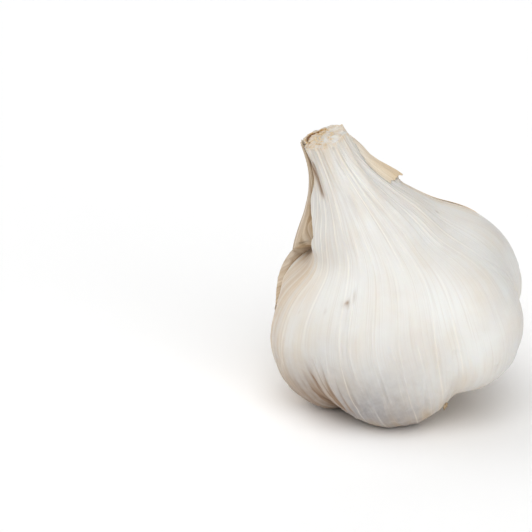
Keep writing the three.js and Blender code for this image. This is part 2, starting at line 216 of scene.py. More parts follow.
class Graph:
    """A node tree that is filled by one method and by expressions on its values."""

    def __init__(self, tree: bpy.types.NodeTree) -> None:
        """Starts with the tree emptied."""
        self.tree, self.entry = tree, None
        tree.nodes.clear()

    @classmethod
    def inside(cls, owner: Material | bpy.types.World) -> Graph:
        """The emptied graph of a material or a world."""
        owner.use_nodes = True
        return cls(owner.node_tree)

    @classmethod
    def of_geometry(cls, name: str) -> Graph:
        """Starts a Geometry Nodes group that takes one geometry in and gives one out.

        Args:
            name: the group's name.

        Returns:
            Its graph.
        """
        graph = cls(bpy.data.node_groups.new(name, "GeometryNodeTree"))
        for way in ("INPUT", "OUTPUT"):
            kind = "NodeSocketGeometry"
            graph.tree.interface.new_socket("Geometry", in_out=way, socket_type=kind)
        graph.entry = graph.add("NodeGroupInput").socket.node
        return graph

    @property
    def geometry(self) -> Value:
        """The geometry that a Geometry Nodes group takes in."""
        return Value(self, self.entry.outputs[0])

    @staticmethod
    def find(sockets: Any, key: int | str) -> bpy.types.NodeSocket:
        """One of a node's inputs or outputs, by its index, its identifier or else its name."""
        matches = [s for index, s in enumerate(sockets) if key in (index, s.identifier, s.name)]
        return min(matches, key=lambda s: (s.identifier != key, not s.enabled))

    def add(self, kind: str, inputs: dict[Any, Any] | None = None, **settings: Any) -> Value:
        """Adds one node.

        Args:
            kind: the node's type.
            inputs: what its sockets hold or are linked to, by index, identifier or name. A list
                holds several links to one socket.
            settings: its properties, which are set first.

        Returns:
            The node's first output. A node that has none gives an empty value.
        """
        node = self.tree.nodes.new(kind)
        for key, value in settings.items():
            setattr(node, key, value)
        for key, value in (inputs or {}).items():
            socket = self.find(node.inputs, key)
            for source in value if isinstance(value, list) else [value]:
                if isinstance(source, Value):
                    self.tree.links.new(source.socket, socket)
                else:
                    socket.default_value = source
        return Value(self, node.outputs[0] if node.outputs else None)

    def math(self, operation: str, *values: Any) -> Value:
        """The result of one Math node for up to three numbers or values."""
        return self.add("ShaderNodeMath", dict(enumerate(values)), operation=operation)

    def vector(self, operation: str, a: Any, b: Any) -> Value:
        """The vector that one Vector Math node gives for two vectors."""
        return self.add("ShaderNodeVectorMath", {0: a, 1: b}, operation=operation)

    def mix(self, share: Any, a: Any, b: Any) -> Value:
        """Turns one colour into another.

        Args:
            share: how far, from 0 to 1.
            a: the colour at 0.
            b: the colour at 1.

        Returns:
            The colour between them.
        """
        inputs = {"Factor_Float": share, "A_Color": a, "B_Color": b}
        mixed = self.add("ShaderNodeMix", inputs, data_type="RGBA", clamp_factor=True)
        return mixed.other("Result_Color")

    def noise(self, vector: Any, scale: float, detail: float = 2.0, rough: float = 0.5) -> Value:
        """A noise pattern round 0.5, with scale features in one unit and finer layers of detail."""
        inputs = {"Vector": vector, "Scale": scale, "Detail": detail, "Roughness": rough}
        return self.add("ShaderNodeTexNoise", inputs)

    def chance(self, value: Any) -> Value:
        """A fixed random number from 0 to 1 for each whole value."""
        spread = self.add("ShaderNodeTexWhiteNoise", {"W": value}, noise_dimensions="1D")
        return spread.other("Value")

    def parts(self, vector: Any) -> list[Value]:
        """A vector's three numbers."""
        split = self.add("ShaderNodeSeparateXYZ", {0: vector})
        return [split.other(index) for index in range(3)]

    def joined(self, x: Any, y: Any, z: Any) -> Value:
        """The vector of three numbers."""
        return self.add("ShaderNodeCombineXYZ", {0: x, 1: y, 2: z})

    def trait(self, name: str, output: str = "Fac") -> Value:
        """A shader's reading of one of the mesh's attributes, a vector's by output "Vector"."""
        return self.add("ShaderNodeAttribute", attribute_name=name).other(output)

    def read(self, name: str, kind: str) -> Value:
        """A geometry's reading of one of the mesh's attributes of a kind."""
        node = self.add("GeometryNodeInputNamedAttribute", {"Name": name}, data_type=kind)
        return node.other("Attribute")

    def size(self, name: str, kind: str, start: Any = None) -> Value:
        """Adds a named input to a Geometry Nodes group.

        Args:
            name: the input's name.
            kind: its socket type, without the word that they all begin with.
            start: the value that it begins with.

        Returns:
            What the group is given for it.
        """
        made = self.tree.interface.new_socket(name, in_out="INPUT", socket_type="NodeSocket" + kind)
        if start is not None:
            made.default_value = start
        return Value(self, self.find(self.entry.outputs, made.identifier))

    def finish_geometry(self, geometry: Value, material: Value) -> None:
        """Ends a Geometry Nodes group: instances made real, material set, result given out.

        Args:
            geometry: what the group has made.
            material: the finish that it takes.
        """
        real = self.add("GeometryNodeRealizeInstances", {"Geometry": geometry})
        dressed = self.add("GeometryNodeSetMaterial", {"Geometry": real, "Material": material})
        self.add("NodeGroupOutput", {0: dressed})

    def relief(self, height: Value, strength: float, distance: float) -> Value:
        """The normal that a Bump node gives for a height."""
        inputs = {"Strength": strength, "Distance": distance, "Height": height}
        return self.add("ShaderNodeBump", inputs)

    def finish_material(self, inputs: dict[str, Any]) -> None:
        """Ends a material with one Principled surface."""
        surface = self.add("ShaderNodeBsdfPrincipled", inputs)
        self.add("ShaderNodeOutputMaterial", {"Surface": surface})


def grow(piece: Piece, graph: Graph, sizes: dict[str, Any]) -> Piece:
    """Runs a Geometry Nodes group on a piece and keeps the result as its plain mesh.

    Args:
        piece: the object, already in the scene.
        graph: the group's graph.
        sizes: values for the group's inputs, by name.

    Returns:
        The same object with its new mesh and no modifier.
    """
    modifier = piece.modifiers.new(graph.tree.name, "NODES")
    modifier.node_group = graph.tree
    for item in graph.tree.interface.items_tree:
        if item.in_out == "INPUT" and item.name in sizes:
            modifier[item.identifier] = sizes[item.name]
    depsgraph = bpy.context.evaluated_depsgraph_get()
    made = bpy.data.meshes.new_from_object(
        piece.evaluated_get(depsgraph), preserve_all_data_layers=True, depsgraph=depsgraph
    )
    before, piece.data = piece.data, made
    piece.modifiers.clear()
    made.name = piece.name
    bpy.data.meshes.remove(before)
    return piece


# ---- Meshes ----


def make_piece(name: str, points: Array, faces: Faces, traits: dict[str, Array]) -> Piece:
    """Makes an object at the origin from points in the part's frame.

    Args:
        name: the object's name.
        points: one row of metres for each vertex.
        faces: the vertices of each face, anticlockwise from outside.
        traits: number or vector attributes, one row for each vertex.

    Returns:
        The object, smooth shaded and in the scene.
    """
    mesh = bpy.data.meshes.new(name)
    mesh.from_pydata(points.tolist(), [], faces)
    for trait, values in traits.items():
        kind, key = ("FLOAT_VECTOR", "vector") if values.ndim == 2 else ("FLOAT", "value")
        layer = mesh.attributes.new(trait, kind, "POINT")
        layer.data.foreach_set(key, np.ascontiguousarray(values, dtype=np.float32).ravel())
    mesh.polygons.foreach_set("use_smooth", np.ones(len(mesh.polygons), dtype=bool))
    mesh.update()
    piece = bpy.data.objects.new(name, mesh)
    bpy.context.scene.collection.objects.link(piece)
    return piece


def ring_faces(rings: int, around: int) -> Faces:
    """The faces between closed rings, with a point before the first and after the last.

    Args:
        rings: how many rings there are.
        around: how many vertices each ring has.

    Returns:
        The faces, where vertex 0 is the first point and the last vertex closes the last ring.
    """
    grid = 1 + np.arange(rings * around).reshape(rings, around)
    after = np.roll(grid, -1, axis=1)
    first = [(0, b, a) for a, b in zip(grid[0].tolist(), after[0].tolist())]
    quads = np.stack([grid[:-1], after[:-1], after[1:], grid[1:]], -1).reshape(-1, 4).tolist()
    last = [(a, b, rings * around + 1) for a, b in zip(grid[-1].tolist(), after[-1].tolist())]
    return [*first, *quads, *last]


def sheet_faces(rows: int, columns: int) -> Faces:
    """The faces of a thin closed sheet: the inner grid's vertices first, then the outer grid's.

    Args:
        rows: how many rows each grid has.
        columns: how many columns each grid has.

    Returns:
        The faces of both grids and of the strips along their four edges.
    """
    inner, outer = np.arange(2 * rows * columns).reshape(2, rows, columns)
    quads = (
        (outer[:-1, :-1], outer[:-1, 1:], outer[1:, 1:], outer[1:, :-1]),
        (inner[:-1, :-1], inner[1:, :-1], inner[1:, 1:], inner[:-1, 1:]),
        (inner[:-1, 0], outer[:-1, 0], outer[1:, 0], inner[1:, 0]),
        (outer[:-1, -1], inner[:-1, -1], inner[1:, -1], outer[1:, -1]),
        (inner[0, :-1], inner[0, 1:], outer[0, 1:], outer[0, :-1]),
        (outer[-1, :-1], outer[-1, 1:], inner[-1, 1:], inner[-1, :-1]),
    )
    return [face for quad in quads for face in np.stack(quad, -1).reshape(-1, 4).tolist()]


# ---- Finishes ----


@dataclass(frozen=True)
class PaperySkin:
    """A dry garlic skin: fibres and veins run up it, and stains, specks, dust and painted shade
    darken it.

    It reads the attributes flow, vein, stain and shade that the skins' meshes carry.
    """

    name: str
    light: Colour
    deep: Colour
    crest: Colour
    vein_line: Colour
    stained: Colour
    shaded: Colour
    darkest: Colour
    dirt_and_shade_grey: Colour
    roughness: float = 0.46
    bump: float = 0.5
    bump_distance: float = 0.00028
    through: float = 0.16

    def material(self) -> Material:
        """Makes the finish.

        Returns:
            A new material.
        """
        material = bpy.data.materials.new(self.name)
        graph = Graph.inside(material)
        flow = graph.trait("flow", "Vector")
        place = graph.add("ShaderNodeTexCoord").other("Object")
        cloud, mottle = graph.noise(place, 60.0, 3.0), graph.noise(place, 420.0, 4.0, 0.6)
        crinkle = graph.noise(place, 900.0, 4.0, 0.65)
        fibre, thread, streak = (
            graph.noise(graph.vector("MULTIPLY", flow, (around, around, along)), 1.0, detail, rough)
            for around, along, detail, rough in (
                (26.0, 0.8, 4.0, 0.6), (84.0, 1.4, 3.0, 0.6), (9.0, 1.3, 3.0, 0.5)
            )
        )  # fmt: skip
        vein, stain, shade = (graph.trait(name) for name in ("vein", "stain", "shade"))
        # Each vein is mixed paler on its crest and darker in a line beside it: partly the skin's
        # own cream and warm lines, partly painted highlight on the raised vein and painted shade
        # beside it.
        crest, beside = vein.smooth(0.2, 0.85), (-vein).at_least(0.0)
        right, back, up = graph.parts(flow)
        # Low on the front left the skin is mixed grey: painted shade for the light that falls off
        # towards the bottom there. Near the root, all round, a weaker grey is partly dust and
        # partly painted shade.
        front_left = -(right * 0.8 + back * 0.6)
        low = up.smooth(1.05, 0.25) * front_left.smooth(0.1, 0.9)
        dust_and_painted_shade = (low + up.smooth(0.4, 0.05) * 0.3).at_most(1.0) * (0.6 + mottle * 0.8)
        high = up.smooth(1.1, 2.0)
        uneven = 0.35 + streak.smooth(0.35, 0.65) * 0.75 + (mottle - 0.5) * 0.5
        dark = shade * (0.75 + (fibre - 0.5) * 1.4)

        colour = graph.mix(cloud.smooth(0.36, 0.64), self.light, self.deep)
        for share, laid_over in (
            (dust_and_painted_shade, self.dirt_and_shade_grey),
            (thread.smooth(0.5, 0.68) * (0.2 + high * 0.3), self.vein_line),
            (fibre.smooth(0.54, 0.72) * (0.12 + high * 0.2), self.vein_line),
            (crest * (0.5 + high * 0.2), self.crest),
            (beside * (0.1 + high * 0.2 + mottle * 0.4), self.vein_line),
            ((stain * uneven).at_most(1.0), self.stained),
            (dark.smooth(0.05, 0.75), self.shaded),
            (dark.smooth(0.6, 1.1) * 0.85, self.darkest),
        ):
            colour = graph.mix(share, colour, laid_over)
        height = fibre * 0.8 + thread * 0.5 + crinkle * 0.35 + mottle * 0.4
        graph.finish_material(
            {
                "Base Color": colour,
                "Roughness": self.roughness + (mottle - 0.5) * 0.3 + stain * 0.08,
                "Normal": graph.relief(height, self.bump, self.bump_distance),
                "Specular IOR Level": 0.32,
                "Subsurface Weight": self.through,
                "Subsurface Radius": (1.0, 0.72, 0.45),
                "Subsurface Scale": 0.0018,
                "Sheen Weight": 0.12,
                "Sheen Roughness": 0.45,
            }
        )
        return material


@dataclass(frozen=True)
class Cork:
    """The root plate's dry corky skin, and the wiry roots that grow from it."""

    name: str
    light: Colour
    deep: Colour
    dark: Colour
    grain: float = 700.0
    bump: float = 0.7
    bump_distance: float = 0.0004

    def material(self) -> Material:
        """Makes the finish.

        Returns:
            A new material.
        """
        material = bpy.data.materials.new(self.name)
        graph = Graph.inside(material)
        place = graph.add("ShaderNodeTexCoord").other("Object")
        patch = graph.noise(place, self.grain * 0.3, 3.0)
        grain = graph.noise(place, self.grain, 5.0, 0.65)
        fine = graph.noise(place, self.grain * 4.0, 3.0, 0.6)
        colour = graph.mix(patch.smooth(0.35, 0.65), self.light, self.deep)
        graph.finish_material(
            {
                "Base Color": graph.mix(grain.smooth(0.52, 0.7) * 0.8, colour, self.dark),
                "Roughness": 0.72 + (fine - 0.5) * 0.3,
                "Normal": graph.relief(grain * 0.7 + fine * 0.3, self.bump, self.bump_distance),
                "Specular IOR Level": 0.25,
                "Sheen Weight": 0.1,
            }
        )
        return material


@dataclass(frozen=True)
class PaleFloor:
    """The studio's plain pale floor."""

    name: str = "pale_floor"
    colour: Colour = (0.97, 0.97, 0.97, 1.0)

    def material(self) -> Material:
        """Makes the finish.

        Returns:
            A new material.
        """
        material = bpy.data.materials.new(self.name)
        Graph.inside(material).finish_material(
            {"Base Color": self.colour, "Roughness": 0.85, "Specular IOR Level": 0.15}
        )
        return material


WHITE_SKIN = PaperySkin(
    name="white_papery_skin",
    light=srgb(230, 230, 227),
    deep=srgb(225, 223, 219),
    crest=srgb(241, 238, 230),
    vein_line=srgb(205, 196, 188),
    stained=srgb(210, 180, 134),
    shaded=srgb(158, 132, 108),
    darkest=srgb(84, 62, 50),
    dirt_and_shade_grey=srgb(172, 168, 167),
)
TAN_SKIN = PaperySkin(
    name="tan_outer_skin",
    light=srgb(237, 231, 221),
    deep=srgb(234, 224, 207),
    crest=srgb(243, 237, 224),
    vein_line=srgb(220, 198, 168),
    stained=srgb(228, 204, 167),
    shaded=srgb(158, 130, 98),
    darkest=srgb(100, 68, 44),
    dirt_and_shade_grey=srgb(222, 212, 198),
    roughness=0.5,
    bump=0.6,
    through=0.0,
)
DRIED_SHEATH = PaperySkin(
    name="dried_leaf_sheath",
    light=srgb(250, 243, 228),
    deep=srgb(243, 229, 203),
    crest=srgb(244, 236, 220),
    vein_line=srgb(212, 186, 150),
    stained=srgb(212, 178, 128),
    shaded=srgb(150, 108, 66),
    darkest=srgb(76, 50, 32),
    dirt_and_shade_grey=srgb(220, 206, 186),
    roughness=0.55,
    bump=0.7,
    through=0.0,
)
ROOT_CORK = Cork(
    name="root_plate_cork",
    light=srgb(176, 150, 118),
    deep=srgb(150, 122, 92),
    dark=srgb(92, 70, 52),
)


# ---- The bulb's form ----


@dataclass(frozen=True)
class Clove:
    """One clove as an ellipsoid under the skin, its middle out from the axis at an azimuth."""

    azimuth: float
    out: float
    up: float
    deep: float
    wide: float
    tall: float

    def outside(self, x: Array, y: Array, z: Array) -> Array:
        """Roughly how far points are outside the clove.

        Args:
            x: to the right, in millimetres.
            y: to the back.
            z: up.

        Returns:
            Millimetres, negative inside.
        """
        c, s = math.cos(math.radians(self.azimuth)), math.sin(math.radians(self.azimuth))
        places = (x * c + y * s - self.out, y * c - x * s, z - self.up)
        halves = (self.deep, self.wide, self.tall)
        scaled = np.sqrt(sum((p / half) ** 2 for p, half in zip(places, halves)))
        slope = np.sqrt(sum((p / half**2) ** 2 for p, half in zip(places, halves))) + 1e-9
        return scaled * (scaled - 1.0) / slope


@dataclass(frozen=True)
class Rays:
    """Rays out from the bulb's middle, with how far along each one a skin is."""

    origin: Array
    direction: Array
    reach: Array

    def at(self, distance: Array) -> Array:
        """The points at a distance along each ray."""
        return self.origin + self.direction * distance[..., None]

    def girth(self) -> Array:
        """How far from the neck's line each ray meets the skin, and a little more."""
        met = self.at(self.reach)
        return np.hypot(met[..., 0] - self.origin[..., 0], met[..., 1]) + 0.5


@dataclass(frozen=True)
class BulbForm:
    """The form that every skin is drawn over: six cloves, a heart and a flaring neck."""

    height: float = 74.4
    cloves: tuple[Clove, ...] = (
        Clove(197.5, 16.4, 21.4, 14.4, 13.0, 17.1),
        Clove(269.0, 15.7, 21.2, 15.0, 19.6, 21.5),
        Clove(324.0, 21.0, 21.7, 17.6, 16.5, 18.2),
        Clove(11.6, 18.8, 25.2, 17.9, 15.7, 20.0),
        Clove(66.0, 16.0, 20.5, 15.0, 18.0, 23.0),
        Clove(132.0, 14.5, 21.5, 14.0, 15.5, 19.6),
    )
    heart_across: float = 20.0
    heart_up: float = 22.0
    heart_tall: float = 18.0
    neck_radius: float = 5.5
    flare_level: float = 73.0
    flare_start: float = 4.5
    flare_rise: float = 0.5
    flare_power: float = 1.8
    lean_top: float = -2.5
    lean_foot: float = 4.0
    slack_foot: float = 0.9
    slack_shoulder: float = 3.5
    slack_height: float = 40.0
    belly_up: float = 24.0
    belly_share: float = 0.42
    steepest: float = 84.0
    steepening: float = 1.15
    reaches: tuple[float, float] = (0.5, 60.0)
    halvings: int = 20
    cut_lowest: float = 248.0

    def neck_middle(self, z: Array | float) -> Array:
        """The x of the neck's middle at a height."""
        return self.lean_top + (self.lean_foot - self.lean_top) * ramp(78.0, 40.0, z)

    @property
    def mouth_x(self) -> float:
        """The x of the middle of the neck's mouth."""
        return float(self.neck_middle(self.height))

    def outside(self, x: Array, y: Array, z: Array, looser: float) -> Array:
        """How far points are outside the skin.

        Args:
            x: to the right, in millimetres.
            y: to the back.
            z: up.
            looser: how much more slack the skin has than the white skin.

        Returns:
            Millimetres, negative inside.
        """
        parts = [clove.outside(x, y, z) for clove in self.cloves]
        lifted = (z - self.heart_up) / self.heart_tall
        across = (x / self.heart_across) ** 2 + (y / self.heart_across) ** 2
        parts.append((np.sqrt(across + lifted**2) - 1.0) * self.heart_tall)
        below = (self.flare_level - z) / self.flare_start
        flare = self.neck_radius + self.flare_rise * np.maximum(below, 0.0) ** self.flare_power
        off_neck = np.hypot(x - self.neck_middle(z), y) - flare * ramp(24.0, 54.0, z)
        steep = self.flare_rise * self.flare_power / self.flare_start
        slope = steep * np.clip(below, 0.3, 8.0) ** (self.flare_power - 1.0)
        parts.append(off_neck / np.hypot(1.0, slope))
        rise = ramp(0.0, self.slack_height, z)
        slack = self.slack_foot + (self.slack_shoulder - self.slack_foot) * rise + looser
        nearest = np.minimum.reduce(parts)
        return nearest - slack * np.log(sum(np.exp((nearest - d) / slack) for d in parts))

    def walk(self, azimuth: Array, share: Array, looser: float = 0.0) -> Rays:
        """Follows rays out to a skin.

        Args:
            azimuth: degrees round the axis.
            share: 0 down at the root plate, belly_share level at the belly, 1 at the neck's cut.
            looser: how much more slack the skin has than the white skin.

        Returns:
            The rays, with one distance for each.
        """
        azimuth, share = np.broadcast_arrays(azimuth, share)
        low = np.clip(1.0 - share / self.belly_share, 0.0, 1.0)
        high = np.clip((share - self.belly_share) / (1.0 - self.belly_share), 0.0, 1.0)
        z = self.belly_up + (self.height - self.belly_up) * high
        turn, tilt = np.radians(azimuth), -math.radians(self.steepest) * low**self.steepening
        origin = np.stack([self.neck_middle(z) * ramp(24.0, 44.0, z), np.zeros_like(z), z], -1)
        direction = polar(turn, np.cos(tilt), np.sin(tilt))
        inside, outside = (np.full(z.shape, bound) for bound in self.reaches)
        for _ in range(self.halvings):
            middle = (inside + outside) / 2.0
            place = np.moveaxis(origin + direction * middle[..., None], -1, 0)
            within = self.outside(*place, looser) < 0.0
            inside, outside = np.where(within, middle, inside), np.where(within, outside, middle)
        return Rays(origin, direction, (inside + outside) / 2.0)

    def cut(self, azimuth: Array, radius: Array | float) -> Array:
        """How far the neck's slanting cut is above the form's height."""
        slant = np.cos(np.radians(azimuth - self.cut_lowest))
        return -np.asarray(radius) / self.neck_radius * slant

    def tip(self, azimuth: Array) -> Array:
        """How far the cut's edge rises to its torn tip and falls away beside it."""
        places = ((0.3, 30.0, 16.0), (0.7, 176.0, 34.0), (-0.6, 92.0, 34.0), (-1.25, 2.0, 24.0))
        return sum(rise * facing(azimuth, middle, width) for rise, middle, width in places)


@dataclass(frozen=True)
class BulbLay:
    """How the bulb lies: leant over to the left, moved and set down on the floor."""

    lean: float = 16.0
    middle_x: float = -3.9
    middle_y: float = 0.55
    rest_level: float = -0.75
    clear: float = 0.02

    def place(self, points: Array) -> Array:
        """Points of the bulb's own frame in the part's frame.

        Args:
            points: millimetres, in the last axis.

        Returns:
            Metres, with nothing below the floor.
        """
        moved = self.moved(points)
        moved[..., 2] = np.maximum(moved[..., 2], self.clear)
        return moved * MM

    def moved(self, points: Array) -> Array:
        """Points where they stand when the bulb lies, in millimetres."""
        return self.turn(points) - np.array([self.middle_x, self.middle_y, self.rest_level])

    def turn(self, vectors: Array) -> Array:
        """Turns vectors of the bulb's own frame as it lies.

        Args:
            vectors: any vectors, in the last axis.

        Returns:
            The vectors in the part's directions, of the same lengths.
        """
        c, s = math.cos(math.radians(self.lean)), math.sin(math.radians(self.lean))
        x, y, z = vectors[..., 0], vectors[..., 1], vectors[..., 2]
        return np.stack([c * x - s * z, y, s * x + c * z], -1)


# ---- Lines and marks on the skin ----


class CreaseKind(Enum):
    """Which way a crease moves the skin."""

    GROOVE = -1.0
    RIDGE = 1.0


@dataclass(frozen=True)
class Crease:
    """One fold line in a skin, between two places given as azimuth and height.

    shade holds how much it darkens the skin at its start and at its end.
    """

    kind: CreaseKind
    start: tuple[float, float]
    end: tuple[float, float]
    width: float
    depth: float
    shade: tuple[float, float] = (0.0, 0.0)
    bow: float = 0.0

    def effect(self, azimuth: Array, z: Array, girth: Array) -> tuple[Array, Array]:
        """What the crease does to a skin.

        Args:
            azimuth: degrees round the axis.
            z: heights in millimetres.
            girth: distances from the axis in millimetres.

        Returns:
            How far each place is lifted, and how much it is darkened.
        """
        t = (z - self.start[1]) / (self.end[1] - self.start[1])
        on = np.clip(t, 0.0, 1.0)
        line = self.start[0] + turn_between(self.end[0], self.start[0]) * on
        line = line + self.bow * np.sin(math.pi * on)
        away = np.radians(turn_between(azimuth, line)) * girth
        amount = bell(away, self.width) * ramp(-0.08, 0.14, t) * ramp(1.08, 0.8, t)
        darkness = self.shade[0] + (self.shade[1] - self.shade[0]) * on
        return self.kind.value * self.depth * amount, darkness * amount


@dataclass(frozen=True)
class Speck:
    """One small brown mark on a skin, longer up the bulb than across."""

    azimuth: float
    z: float
    across: float
    along: float
    strength: float

    def amount(self, azimuth: Array, z: Array, girth: Array) -> Array:
        """How dark each place is made by the speck, from 0 to 1."""
        away = np.radians(turn_between(azimuth, self.azimuth)) * girth
        return self.strength * bell(away, self.across) * bell(z - self.z, self.along)


GROOVE, RIDGE = CreaseKind.GROOVE, CreaseKind.RIDGE
FRONT_CREASES = (
    Crease(GROOVE, (205.0, 72.0), (223.5, 60.0), 1.0, 0.45, (0.8, 0.85), 2.0),
    Crease(RIDGE, (212.0, 71.5), (231.0, 59.0), 0.5, 0.2, bow=2.0),
    Crease(GROOVE, (216.0, 71.0), (234.0, 59.0), 0.3, 0.14, (0.25, 0.2), 2.0),
    Crease(GROOVE, (232.0, 26.0), (235.5, 8.0), 0.9, 0.4, (0.1, 0.95)),
    Crease(GROOVE, (226.5, 27.0), (233.0, 11.0), 0.4, 0.16, (0.12, 0.7)),
    Crease(RIDGE, (229.0, 27.5), (234.0, 12.0), 0.35, 0.2),
    Crease(GROOVE, (219.5, 22.5), (229.0, 10.0), 0.35, 0.15, (0.1, 0.6)),
    Crease(GROOVE, (213.0, 19.0), (221.0, 9.0), 0.5, 0.12, (0.05, 0.45)),
    Crease(GROOVE, (240.5, 22.0), (240.5, 8.0), 0.4, 0.16, (0.1, 0.6)),
    Crease(RIDGE, (237.0, 24.0), (238.5, 8.0), 0.5, 0.22),
    Crease(GROOVE, (246.5, 28.0), (246.5, 9.0), 0.9, 0.14, (0.05, 0.3)),
    Crease(RIDGE, (249.0, 42.0), (254.6, 5.0), 0.32, 0.28),
    Crease(RIDGE, (262.8, 33.0), (264.8, 3.0), 0.3, 0.24),
    Crease(RIDGE, (271.0, 27.0), (276.0, 9.0), 0.28, 0.2),
    Crease(RIDGE, (245.0, 34.0), (249.5, 7.0), 0.28, 0.18),
    Crease(GROOVE, (331.0, 38.5), (351.0, 23.5), 0.8, 0.3, (0.05, 0.1)),
    Crease(GROOVE, (326.0, 37.5), (344.0, 25.0), 0.6, 0.2, (0.0, 0.05)),
    Crease(GROOVE, (299.0, 21.6), (294.5, 17.0), 1.0, 0.4, (0.05, 0.05)),
    Crease(GROOVE, (315.4, 13.5), (313.5, 9.5), 0.9, 0.35, (0.1, 0.1)),
    Crease(GROOVE, (296.5, 14.0), (294.6, 4.0), 0.7, 0.3, (0.1, 0.25)),
)
FRONT_SPECKS = (
    Speck(246.8, 38.8, 0.7, 0.7, 0.85),
    Speck(246.8, 38.6, 1.6, 1.3, 0.4),
    Speck(251.2, 39.8, 0.6, 1.9, 0.5),
    Speck(234.0, 37.1, 0.9, 1.1, 0.3),
    Speck(236.4, 38.2, 0.5, 1.4, 0.2),
    Speck(213.0, 35.9, 0.6, 0.8, 0.3),
    Speck(348.6, 48.2, 0.5, 0.8, 0.4),
    Speck(285.6, 72.4, 0.5, 0.9, 0.4),
)


@dataclass(frozen=True)
class CreaseBed:
    """Where small creases gather: what their sizes are drawn from.

    A range holds the lowest and the highest of a size, and shade the most at start and end.
    """

    top: tuple[float, float]
    foot: tuple[float, float]
    grooves: float
    drift: float
    width: tuple[float, float]
    depth: tuple[float, float]
    shade: tuple[float, float]

    def crease(self, rng: np.random.Generator) -> Crease:
        """Draws one crease.

        Args:
            rng: the seeded numbers that it is drawn from.

        Returns:
            The crease, from its top down.
        """
        turn, top, foot = rng.uniform(0, 360), rng.uniform(*self.top), rng.uniform(*self.foot)
        kind = GROOVE if rng.random() < self.grooves else RIDGE
        drift, width = rng.uniform(-self.drift, self.drift), rng.uniform(*self.width)
        depth, dark = rng.uniform(*self.depth), rng.random()
        shade = (dark * self.shade[0], dark * self.shade[1])
        return Crease(kind, (turn, top), (turn + drift, foot), width, depth, shade)


FOOT_BED = CreaseBed((9, 24), (1, 6), 0.65, 5.0, (0.3, 0.7), (0.06, 0.2), (0.0, 0.26))
NECK_BED = CreaseBed((68, 74), (50, 63), 0.5, 9.0, (0.25, 0.5), (0.03, 0.09), (0.12, 0.0))
SPECK_RANGES = ((0, 360), (6, 60), (0.18, 0.4), (0.25, 0.9), (0.1, 0.45))


@dataclass(frozen=True)
class Weathering:
    """Seeded small creases and specks all round a skin, as handling and drying leave them.

    relief and dark say how strongly this skin takes creases and specks.
    """

    seed: int
    foot_creases: int = 70
    neck_creases: int = 26
    specks: int = 30
    own_creases: tuple[Crease, ...] = ()
    own_specks: tuple[Speck, ...] = ()
    relief: float = 1.0
    dark: float = 1.0

    def crease(self, place: tuple[Array, ...], lift: Array, shade: Array) -> tuple[Array, Array]:
        """Puts the creases into a skin.

        Args:
            place: the skin's azimuths, heights and girths.
            lift: how far it is lifted.
            shade: how dark it is.

        Returns:
            The lift and the shade with the creases.
        """
        rng = np.random.default_rng(self.seed)
        beds = [FOOT_BED] * self.foot_creases + [NECK_BED] * self.neck_creases
        for crease in (*self.own_creases, *(bed.crease(rng) for bed in beds)):
            more_lift, more_shade = crease.effect(*place)
            lift, shade = lift + self.relief * more_lift, shade + more_shade
        return lift, shade

    def speckle(self, place: tuple[Array, ...], shade: Array) -> Array:
        """Puts the specks on a skin.

        Args:
            place: the skin's azimuths, heights and girths.
            shade: how dark it is.

        Returns:
            The shade with the specks, few of them strong.
        """
        rng = np.random.default_rng(self.seed + 1)
        drawn = [[rng.uniform(*bounds) for bounds in SPECK_RANGES] for _ in range(self.specks)]
        small = (Speck(*sizes, strength**1.2) for *sizes, strength in drawn)
        for speck in (*self.own_specks, *small):
            shade = np.maximum(shade, self.dark * speck.amount(*place))
        return shade


# ---- Veins ----


@dataclass(frozen=True)
class VeinFamily:
    """Veins of one strength: how many run up the bulb, how they stand out and mark the skin."""

    name: str
    count: int
    height: float
    width: float
    seed: float
    wander: float
    crest_mark: float
    side_mark: float
    loose: float = 0.7

    def lines(self, graph: Graph, flow: Value, girth: Value) -> tuple[Value, Value]:
        """Where the family's veins run.

        Args:
            graph: the graph that the nodes are added to.
            flow: the flow attribute.
            girth: the distance from the axis in millimetres.

        Returns:
            The veins' height in metres, and their marks from -1 beside a vein to 1 on it.
        """
        height = graph.size(f"{self.name} Height", "Float", self.height * MM)
        count = graph.size(f"{self.name} Count", "Int", self.count)
        x, y, _ = graph.parts(flow)
        turn = y.math("ARCTAN2", x) / (2.0 * math.pi) + 1.0
        offset = graph.vector("ADD", flow, (self.seed, 0.0, 0.0))
        sway = graph.noise(graph.vector("MULTIPLY", offset, (3.0, 3.0, 1.0)), 1.0, 1.0)
        cells = turn * count + (sway - 0.5) * (2.0 * self.wander)
        cell = cells.math("FLOOR")
        own = cell.math("FLOORED_MODULO", count)
        middle = 0.5 + (graph.chance(own + self.seed) - 0.5) * self.loose
        spacing = girth * (2.0 * math.pi) / count
        away = (cells - cell - middle).math("ABSOLUTE") * spacing
        width = (spacing * 0.24).at_most(self.width)
        patchy = graph.noise(graph.vector("MULTIPLY", offset, (6.0, 6.0, 1.6)), 1.0, 1.0)
        strength = (0.3 + graph.chance(own + (self.seed + 500.0)) * 0.7) * patchy.smooth(0.25, 0.6)
        # crest_mark lightens each vein and side_mark darkens a line beside it, partly as painted
        # highlight and painted shade of the raised vein.
        crest = away.bell(width) * strength
        beside = (away - width * 1.9).bell(width * 0.8) * strength
        return crest * height, crest * self.crest_mark - beside * self.side_mark


